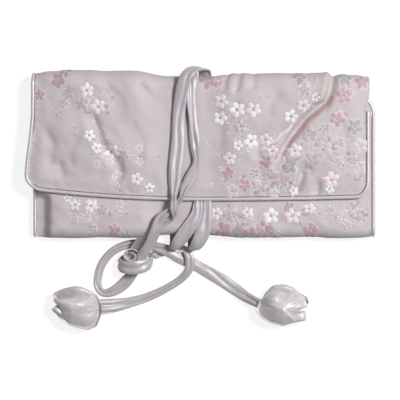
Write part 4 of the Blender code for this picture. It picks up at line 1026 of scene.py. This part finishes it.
def silk_dot(shape, surface, centre, size, turn, height, colour):
    """A small dome of floated silk that follows the cloth, its base sunk into it."""
    made = bmesh.ops.create_uvsphere(shape, u_segments=10, v_segments=4, radius=1.0)
    thread = shape.verts.layers.float_color["thread"]
    cosine, sine = math.cos(turn), math.sin(turn)
    for vert in made["verts"]:
        a, b = vert.co.x * size[0], vert.co.y * size[1]
        rise = math.copysign(abs(vert.co.z) ** 0.45, vert.co.z)
        x = centre[0] + a * cosine - b * sine
        y = centre[1] + a * sine + b * cosine
        vert.co = surface(x, y, rise * height)
        vert.co.z = max(vert.co.z, SILK_CLEARANCE)
        vert[thread] = (*colour, 1.0)


def blossom(sprays, surface, x, y, radius, kind, draw):
    """Five round petals round a small heart, filled or only outlined; raised petals sit on a dark rim of
    painted shade, flat ones on a pale thread rim.
    """
    shape = new_silk()
    start = draw.uniform(0, 2 * math.pi)
    outlined = kind.startswith("o")
    raised = kind[-1] in "wpl" and not outlined
    colour = THREADS_AND_PAINTED_SHADE[kind[-1]]
    # Raised petals: the rim is the gap colour, painted shade for the shadow between petals. Flat ones: pale
    # edge thread.
    rim = THREADS_AND_PAINTED_SHADE["gap"] if raised else THREADS_AND_PAINTED_SHADE["e"]
    height = RAISED_SILK if raised else FLAT_SILK
    # A disc under the petals: painted shade round a raised blossom's heart, pale thread under a flat one.
    silk_dot(shape, surface, (x, y), (radius * 0.55,) * 2, 0.0, GROUND_SILK, rim)
    for petal_number in range(5):
        turn = start + petal_number * 2 * math.pi / 5 + draw.uniform(-0.12, 0.12)
        reach = radius * draw.uniform(0.53, 0.6)
        centre = (x + reach * math.cos(turn), y + reach * math.sin(turn))
        long, wide = radius * draw.uniform(0.42, 0.48), radius * draw.uniform(0.35, 0.4)
        tone = draw.uniform(0.92, 1.08)
        fill = tuple(min(c * tone, 0.9) for c in colour)
        if outlined:
            fill = tuple(0.35 * a + 0.65 * b for a, b in zip(colour, (0.58, 0.52, 0.525)))
        # A rim round each petal: painted shade for a raised one, pale outline thread for a flat one.
        silk_dot(shape, surface, centre, (long + 0.2, wide + 0.2), turn, RIM_SILK, rim)
        silk_dot(shape, surface, centre, (long, wide), turn, height, fill)
    silk_dot(shape, surface, (x, y), (radius * 0.17,) * 2, 0.0, RAISED_SILK, THREADS_AND_PAINTED_SHADE["heart"])
    add_to(sprays, shape)


def loose_leaves(sprays, surface, spray, draw):
    """Small leaves and petals scattered over an oval, most of them leaning one way."""
    (middle_x, middle_y), (half_x, half_y), count, lean, kinds = spray
    for _ in range(count):
        angle, out = draw.uniform(0, 2 * math.pi), math.sqrt(draw.uniform(0, 1))
        x, y = middle_x + half_x * out * math.cos(angle), middle_y + half_y * out * math.sin(angle)
        kind = draw.choice(kinds)
        turn = math.radians(lean) + draw.gauss(0, 0.7)
        size = (draw.uniform(1.0, 2.0), draw.uniform(0.25, 0.4))
        if kind in "dl":
            size = (draw.uniform(1.2, 2.2), draw.uniform(0.7, 1.2))
        shape = new_silk()
        silk_dot(shape, surface, (x, y), size, turn, LEAF_SILK, THREADS_AND_PAINTED_SHADE[kind])
        add_to(sprays, shape)


def twig(sprays, surface, points, width, kind, draw):
    """A thread or a narrow woven band through the points; a thread has small buds beside it."""
    shape = new_silk()
    thread = shape.verts.layers.float_color["thread"]
    thin = width == TWIG_WIDTH
    steps = 8 * (len(points) - 1)
    for vert, across, along in grid(shape, 2 if thin else 6, steps):
        from_middle, place = across - 0.5, along * (len(points) - 1)
        piece = min(int(place), len(points) - 2)
        share = place - piece
        (ax, ay), (bx, by) = points[piece], points[piece + 1]
        length = math.hypot(bx - ax, by - ay)
        sway = 0.5 * math.sin(place * 4.0)
        x = mix(ax, bx, share) - (by - ay) / length * (from_middle * width + sway)
        y = mix(ay, by, share) + (bx - ax) / length * (from_middle * width + sway)
        vert.co = surface(x, y, TWIG_SILK * max(math.cos(from_middle * math.pi), 0.0) ** 0.5)
        vert[thread] = (*THREADS_AND_PAINTED_SHADE[kind], 1.0)
    below = bmesh.ops.extrude_face_region(shape, geom=shape.faces[:])["geom"]
    sunk = [item for item in below if isinstance(item, bmesh.types.BMVert)]
    bmesh.ops.translate(shape, vec=(0.0, 0.0, -0.2), verts=sunk)
    for x, y in points[1:] if thin else ():
        spot = (x + draw.uniform(-1.5, 1.5), y + draw.uniform(-1.5, 1.5))
        turn = draw.uniform(0, 3)
        silk_dot(shape, surface, spot, (0.75, 0.6), turn, 0.24, THREADS_AND_PAINTED_SHADE[draw.choice("dgpw")])
    bmesh.ops.recalc_face_normals(shape, faces=shape.faces)
    add_to(sprays, shape)


def woven_blossoms():
    """All the silk on the flap and the front, then scattered blossoms on the back."""
    sprays = new_silk()
    draw = random.Random(7)
    for surface, twigs, loose, blossoms_there in (
        (on_flap, FLAP_TWIGS, SPRAYS, FLAP_BLOSSOMS),
        (on_front, FRONT_TWIGS, FRONT_SPRAYS, FRONT_BLOSSOMS),
    ):
        for points in twigs:
            twig(sprays, surface, points, TWIG_WIDTH, "e", draw)
        for spray in loose:
            loose_leaves(sprays, surface, spray, draw)
        for x, y, radius, kind in blossoms_there:
            blossom(sprays, surface, x, y, radius, kind, draw)
    # The bands by the long crease: woven pink that also paints the valley's shade and the ridge's highlight
    for points, width, kind in CREASE_BANDS_OF_PATTERN_AND_PAINTED_LIGHT:
        twig(sprays, on_flap, points, width, kind, draw)
    for _ in range(BACK_BLOSSOMS):
        x, y = draw.uniform(-92, 98), draw.uniform(-38, 38)
        if abs(x - TIE_CENTRE) > 22:
            radius, kind = draw.uniform(3.6, 5.6), draw.choice(["w", "p", "d", "og", "od"])
            blossom(sprays, on_back, x, y, radius, kind, draw)
            lean = draw.uniform(-90, 90)
            loose_leaves(sprays, on_back, ((x + 7, y), (7.0, 5.0), 5, lean, "peed"), draw)
    return sprays


blossom_silk = satin("blossom silk", (1, 1, 1), (0.92, 0.92, 0.92), 0.5, 0.00004, 0.0)
silk = blossom_silk.node_tree
thread = add_node(silk, "Attribute", {}, attribute_name="thread")
toned = mixed(silk, 1.0, thread.outputs["Color"], silk.nodes["Mix"].outputs["Result"], "MULTIPLY")
feed(silk, silk.nodes["Principled BSDF"], {"Base Color": toned})
blossoms = finished("woven_blossoms", woven_blossoms(), "brocade", blossom_silk, angle=80)

# Piping: a cord covered with satin, sewn into the seam round the sheet's whole edge.
# The satin is cut on the bias, so its threads and small wrinkles run slantwise round it.
PIPING_RADIUS = 1.15
PIPING_SIDES = 12
PIPING_COLUMNS = 90
PIPING_WRINKLE = 0.035
SEWN_GAP = 0.3
TUCKED_IN = 1.9
TUCKED_UNDER = 1.7


def sheet_edge():
    """Places round the sheet's edge, the way out of its outer face, and how far it is tucked in."""
    last = len(sheet_rows) - 1
    columns = [step / PIPING_COLUMNS for step in range(PIPING_COLUMNS + 1)]
    stops = [(across, 0) for across in columns]
    stops += [(1.0, index) for index in range(1, last + 1)]
    stops += [(across, last) for across in reversed(columns[:-1])]
    stops += [(0.0, index) for index in range(last - 1, 0, -1)]
    route = []
    for across, index in stops:
        zone, share = sheet_rows[index]
        left, right = sheet_sides(zone, share, edge_distance(zone, share))
        outer, inner = cloth_at(mix(left, right, across), zone, share)
        tucked = 0.0
        if across == 1.0 and zone == "top":
            tucked = smooth((share - 0.3) / 0.4)
        if across == 1.0 and zone == "flap":
            tucked = 1 - smooth((share - 0.17) / 0.07)
        route.append(((outer + inner) / 2, (outer - inner).normalized(), tucked))
    return route


def edge_piping():
    """A round cord along the sheet's whole edge, slightly wrinkled."""
    route = sheet_edge()
    count = len(route)
    shape = bmesh.new()
    cloth = shape.loops.layers.uv.new("cloth")
    lengths = [0.0]
    for index in range(count):
        lengths.append(lengths[-1] + (route[(index + 1) % count][0] - route[index][0]).length)
    flat = {}
    for vert, around, along in grid(shape, PIPING_SIDES, count):
        index = round(along * count)
        flat[vert] = (around * 2 * math.pi * PIPING_RADIUS * MM, lengths[index] * MM)
        place, outward, tucked = route[index % count]
        tangent = (route[(index + 1) % count][0] - route[index % count - 1][0]).normalized()
        sideways = outward.cross(tangent).normalized()
        turn = 2 * math.pi * around
        radius = PIPING_RADIUS * (1 + PIPING_WRINKLE * math.sin(lengths[index] * 1.9 + turn * 2))
        centre = place + sideways * (SEWN_GAP + PIPING_RADIUS) * (1 - TUCKED_IN * tucked)
        centre -= outward * TUCKED_UNDER * tucked
        vert.co = centre + (sideways * math.cos(turn) + outward * math.sin(turn)) * radius
    lay_flat(shape, cloth, flat)
    bmesh.ops.remove_doubles(shape, verts=shape.verts, dist=0.0005)
    bmesh.ops.recalc_face_normals(shape, faces=shape.faces)
    return shape


piping_satin = satin("piping satin", (0.74, 0.70, 0.72), (0.62, 0.58, 0.60), 0.38)
piping = finished("satin_edge_piping", edge_piping(), "piping_satin", piping_satin, angle=80)
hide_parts("edge_piping")

# Pockets: two panels of lining satin inside the folds, hemmed and stitched on the lining.
# Each has a long window for its zip, with a turned and stitched edge.
POCKET_CORNER = 4.0
WINDOW_WIDTH = 7.4
ZIP_LENGTH = 176.0
HEM_WIDTH = 3.0
STITCH_STEP = 3.0
STITCH_LENGTH = 1.8
STITCH_WIDTH = 0.3
STITCH_HEIGHT = 0.16


def node_box(node):
    """A CAD node's lowest and highest corner in millimetres."""
    low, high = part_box(node)
    return [value / MM for value in low], [value / MM for value in high]


def places_on(marks, step):
    """Evenly spaced places between the marks, which they fall on too."""
    places = [marks[0]]
    for start, end in zip(marks, marks[1:]):
        count = max(round((end - start) / step), 1)
        places += [mix(start, end, (number + 1) / count) for number in range(count)]
    return places


def add_box(shape, size, centre):
    made = bmesh.ops.create_cube(shape, size=1.0)
    bmesh.ops.scale(shape, vec=size, verts=made["verts"])
    bmesh.ops.translate(shape, vec=centre, verts=made["verts"])


def stitched_ring(shape, left, right, low, high, level):
    """Machine stitches, short flat threads, round a rectangle."""
    for x in places_on((left, right), STITCH_STEP):
        for y in (low, high):
            add_box(shape, (STITCH_LENGTH, STITCH_WIDTH, STITCH_HEIGHT), (x, y, level))
    for y in places_on((low, high), STITCH_STEP)[1:-1]:
        for x in (left, right):
            add_box(shape, (STITCH_WIDTH, STITCH_LENGTH, STITCH_HEIGHT), (x, y, level))


def satin_pocket(node, zip_line, facing):
    """A panel with its window, hems and stitches; facing is 1 where its face looks up."""
    (left, low, bottom), (right, high, top) = node_box(node)
    middle = (left + right) / 2
    face, base = (top, bottom) if facing > 0 else (bottom, top)
    window = (middle - ZIP_LENGTH / 2, middle + ZIP_LENGTH / 2)
    slot = (zip_line - WINDOW_WIDTH / 2, zip_line + WINDOW_WIDTH / 2)
    columns = places_on((left, left + HEM_WIDTH, window[0], window[1], right - HEM_WIDTH, right), 2.4)
    rows = places_on((low, low + HEM_WIDTH, slot[0], slot[1], high - HEM_WIDTH, high), 1.8)
    shape = bmesh.new()
    for vert, across, along in grid(shape, len(columns) - 1, len(rows) - 1):
        x = columns[round(across * (len(columns) - 1))]
        y = rows[round(along * (len(rows) - 1))]
        vert.co = (x, y, 0.0)
    in_window = []
    for cell in shape.faces:
        spot = cell.calc_center_median()
        if window[0] < spot.x < window[1] and slot[0] < spot.y < slot[1]:
            in_window.append(cell)
    bmesh.ops.delete(shape, geom=in_window, context="FACES")
    for vert in shape.verts:
        x, y = vert.co.x, vert.co.y
        from_end = max(min(y - low, high - y), 0.0)
        inset = corner_inset(from_end, POCKET_CORNER)
        from_slot = max(window[0] - x, x - window[1], slot[0] - y, y - slot[1])
        from_hem = min(from_end, x - left, right - x, from_slot)
        wrinkle = noise.noise(Vector((x / 12, y / 7, zip_line))) + noise.noise(Vector((x / 5, y / 4, 3.0)))
        sunk = (0.26 - 0.16 * wrinkle) * smooth((from_hem - HEM_WIDTH * 0.7) / 3)
        share = (x - left) / (right - left)
        vert.co = (mix(left + inset, right - inset, share), y, face - facing * max(sunk, 0.0))
    backing = bmesh.ops.extrude_face_region(shape, geom=shape.faces[:])["geom"]
    for vert in [item for item in backing if isinstance(item, bmesh.types.BMVert)]:
        vert.co.z = base
    bmesh.ops.recalc_face_normals(shape, faces=shape.faces)
    seam = HEM_WIDTH * 0.6
    level = face - facing * 0.06
    stitched_ring(shape, left + seam, right - seam, low + seam, high - seam, level)
    stitched_ring(shape, window[0] - seam, window[1] + seam, slot[0] - seam, slot[1] + seam, level)
    panel = finished("satin_" + node, shape, "lining_satin", lining_satin)
    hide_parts(node)


# Zips: woven tapes with a nylon coil sewn along their inner edges, behind each pocket's window.
# The slider and its pull are nickel-plated, and keep their solids.
COIL_WIRE = 0.2
COIL_PITCH = 1.6
COIL_STEPS = 8
COIL_HALF_WIDTH = 0.8
COIL_HALF_HEIGHT = 0.6
TAPE_SETBACK = 0.5
TAPE_THICKNESS = 0.45
RIB_PLACES = (1.2, 6.3)
RIB_WIDTH = 0.5
RIB_HEIGHT = 0.2
RIB_LEVEL = 0.48

tape_cloth = satin("zip tape cloth", (0.58, 0.53, 0.56), (0.50, 0.45, 0.48), 0.75, 0.00006, 0.0, "Object")
woven(tape_cloth, "DIAGONAL", 700, 0.6, "Object", 0.0001, 1.0)
coil_nylon = satin("coil nylon", (0.60, 0.55, 0.58), (0.55, 0.50, 0.53), 0.35, 0.00001, 0.0, "Object")


def zip_tape(node, side, facing):
    """One tape with its coil; side is 1 where the coil is on the lower side of the tape."""
    (left, low, bottom), (right, high, top) = node_box(node)
    coil_edge, outer_edge = (low, high) if side > 0 else (high, low)
    under = bottom if facing > 0 else top
    middle = (left + right) / 2
    shape = bmesh.new()
    tape_size = (right - left, abs(outer_edge - coil_edge) - TAPE_SETBACK, TAPE_THICKNESS)
    tape_middle = (coil_edge + side * TAPE_SETBACK + outer_edge) / 2
    add_box(shape, tape_size, (middle, tape_middle, under + facing * TAPE_THICKNESS / 2))
    for rib_place in RIB_PLACES:
        rib_centre = (middle, coil_edge + side * rib_place, under + facing * RIB_LEVEL)
        add_box(shape, (right - left, RIB_WIDTH, RIB_HEIGHT), rib_centre)
    turns = round((right - left - 2 * COIL_WIRE) / COIL_PITCH)
    coil = grid(shape, 4, turns * COIL_STEPS)
    for vert, round_wire, along in coil:
        around = 2 * math.pi * round_wire
        angle = 2 * math.pi * turns * along
        skin = COIL_WIRE - COIL_WIRE * math.cos(around)
        across = (COIL_HALF_WIDTH - skin) * math.cos(angle)
        rise = (COIL_HALF_HEIGHT - skin) * math.sin(angle)
        vert.co.x = mix(left + COIL_WIRE, right - COIL_WIRE, along) + COIL_WIRE * math.sin(around)
        vert.co.y = coil_edge + side * (COIL_HALF_WIDTH + across)
        vert.co.z = under + facing * (COIL_HALF_HEIGHT + rise)
        for face in vert.link_faces:
            face.material_index = 1
    bmesh.ops.remove_doubles(shape, verts=[vert for vert, _, _ in coil], dist=0.0001)
    close(shape)
    tape = finished("woven_" + node, shape, "zip_tape", tape_cloth, coil_nylon)
    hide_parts(node)


nickel, plate = new_material("nickel plate")
polish = noise_in(plate, add_node(plate, "TexCoord", {}).outputs["Object"], 900, 3)["Fac"]
gloss = add_node(plate, "MapRange", {"To Min": 0.2, "To Max": 0.38, "Value": polish})
relief = add_node(plate, "Bump", {"Distance": 0.00002, "Height": polish})
feed(plate, plate.nodes["Principled BSDF"], {
    "Base Color": (0.62, 0.61, 0.60, 1),
    "Metallic": 1.0,
    "Roughness": gloss.outputs["Result"],
    "Normal": relief.outputs["Normal"],
})
for panel, zip_line, facing in (("back", 24.0, 1), ("front", -12.0, -1)):
    satin_pocket(panel + "_pocket", zip_line, facing)
    zip_tape(panel + "_zip_tape_upper", 1, facing)
    zip_tape(panel + "_zip_tape_lower", -1, facing)
    for node in (panel + "_zip_slider", panel + "_zip_pull"):
        for material_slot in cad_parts[node].material_slots:
            material_slot.material = nickel


# Floor: a plain white surface, which shows white and keeps a faint shadow.
# The lamps are soft panels: a strong one above the upper right and two weak ones.
floor_mesh = bmesh.new()
bmesh.ops.create_grid(floor_mesh, x_segments=1, y_segments=1, size=3.0)
floor_data = bpy.data.meshes.new("floor")
floor_mesh.to_mesh(floor_data)
floor_mesh.free()
floor = bpy.data.objects.new("floor", floor_data)
bpy.context.scene.collection.objects.link(floor)
white, paint = new_material("white floor")
paint.nodes.remove(paint.nodes["Principled BSDF"])
matt = add_node(paint, "BsdfDiffuse", {"Color": (0.4, 0.4, 0.4, 1)})
half_matt = add_node(paint, "BsdfDiffuse", {"Color": (0.22, 0.22, 0.22, 1)})
glow = add_node(paint, "Emission", {"Strength": 0.85})
both = add_node(paint, "AddShader", {0: half_matt.outputs[0], 1: glow.outputs[0]})
seen = add_node(paint, "LightPath", {})
rays = {0: seen.outputs["Is Camera Ray"], 1: seen.outputs["Is Glossy Ray"]}
either = add_node(paint, "Math", rays, operation="MAXIMUM")
shown = {0: either.outputs[0], 1: matt.outputs[0], 2: both.outputs[0]}
choose = add_node(paint, "MixShader", shown)
feed(paint, paint.nodes["Material Output"], {"Surface": choose.outputs[0]})
floor_data.materials.append(white)

world = bpy.data.worlds.new("studio")
world.use_nodes = True
world.node_tree.nodes["Background"].inputs["Color"].default_value = (1, 1, 1, 1)
world.node_tree.nodes["Background"].inputs["Strength"].default_value = 0.15
bpy.context.scene.world = world
for name, place, size, watts in (
    ("key panel", (0.95, 0.45, 1.6), 0.45, 32.5),
    ("fill panel", (-0.8, 0.4, 1.1), 0.8, 1.5),
    ("front panel", (0.1, -1.0, 1.0), 0.8, 0.6),
):
    lamp_data = bpy.data.lights.new(name, "AREA")
    lamp_data.size = size
    lamp_data.energy = watts
    lamp = bpy.data.objects.new(name, lamp_data)
    lamp.location = place
    lamp.rotation_euler = (-Vector(place)).to_track_quat("-Z", "Y").to_euler()
    bpy.context.scene.collection.objects.link(lamp)

bpy.context.scene.view_settings.view_transform = "Standard"
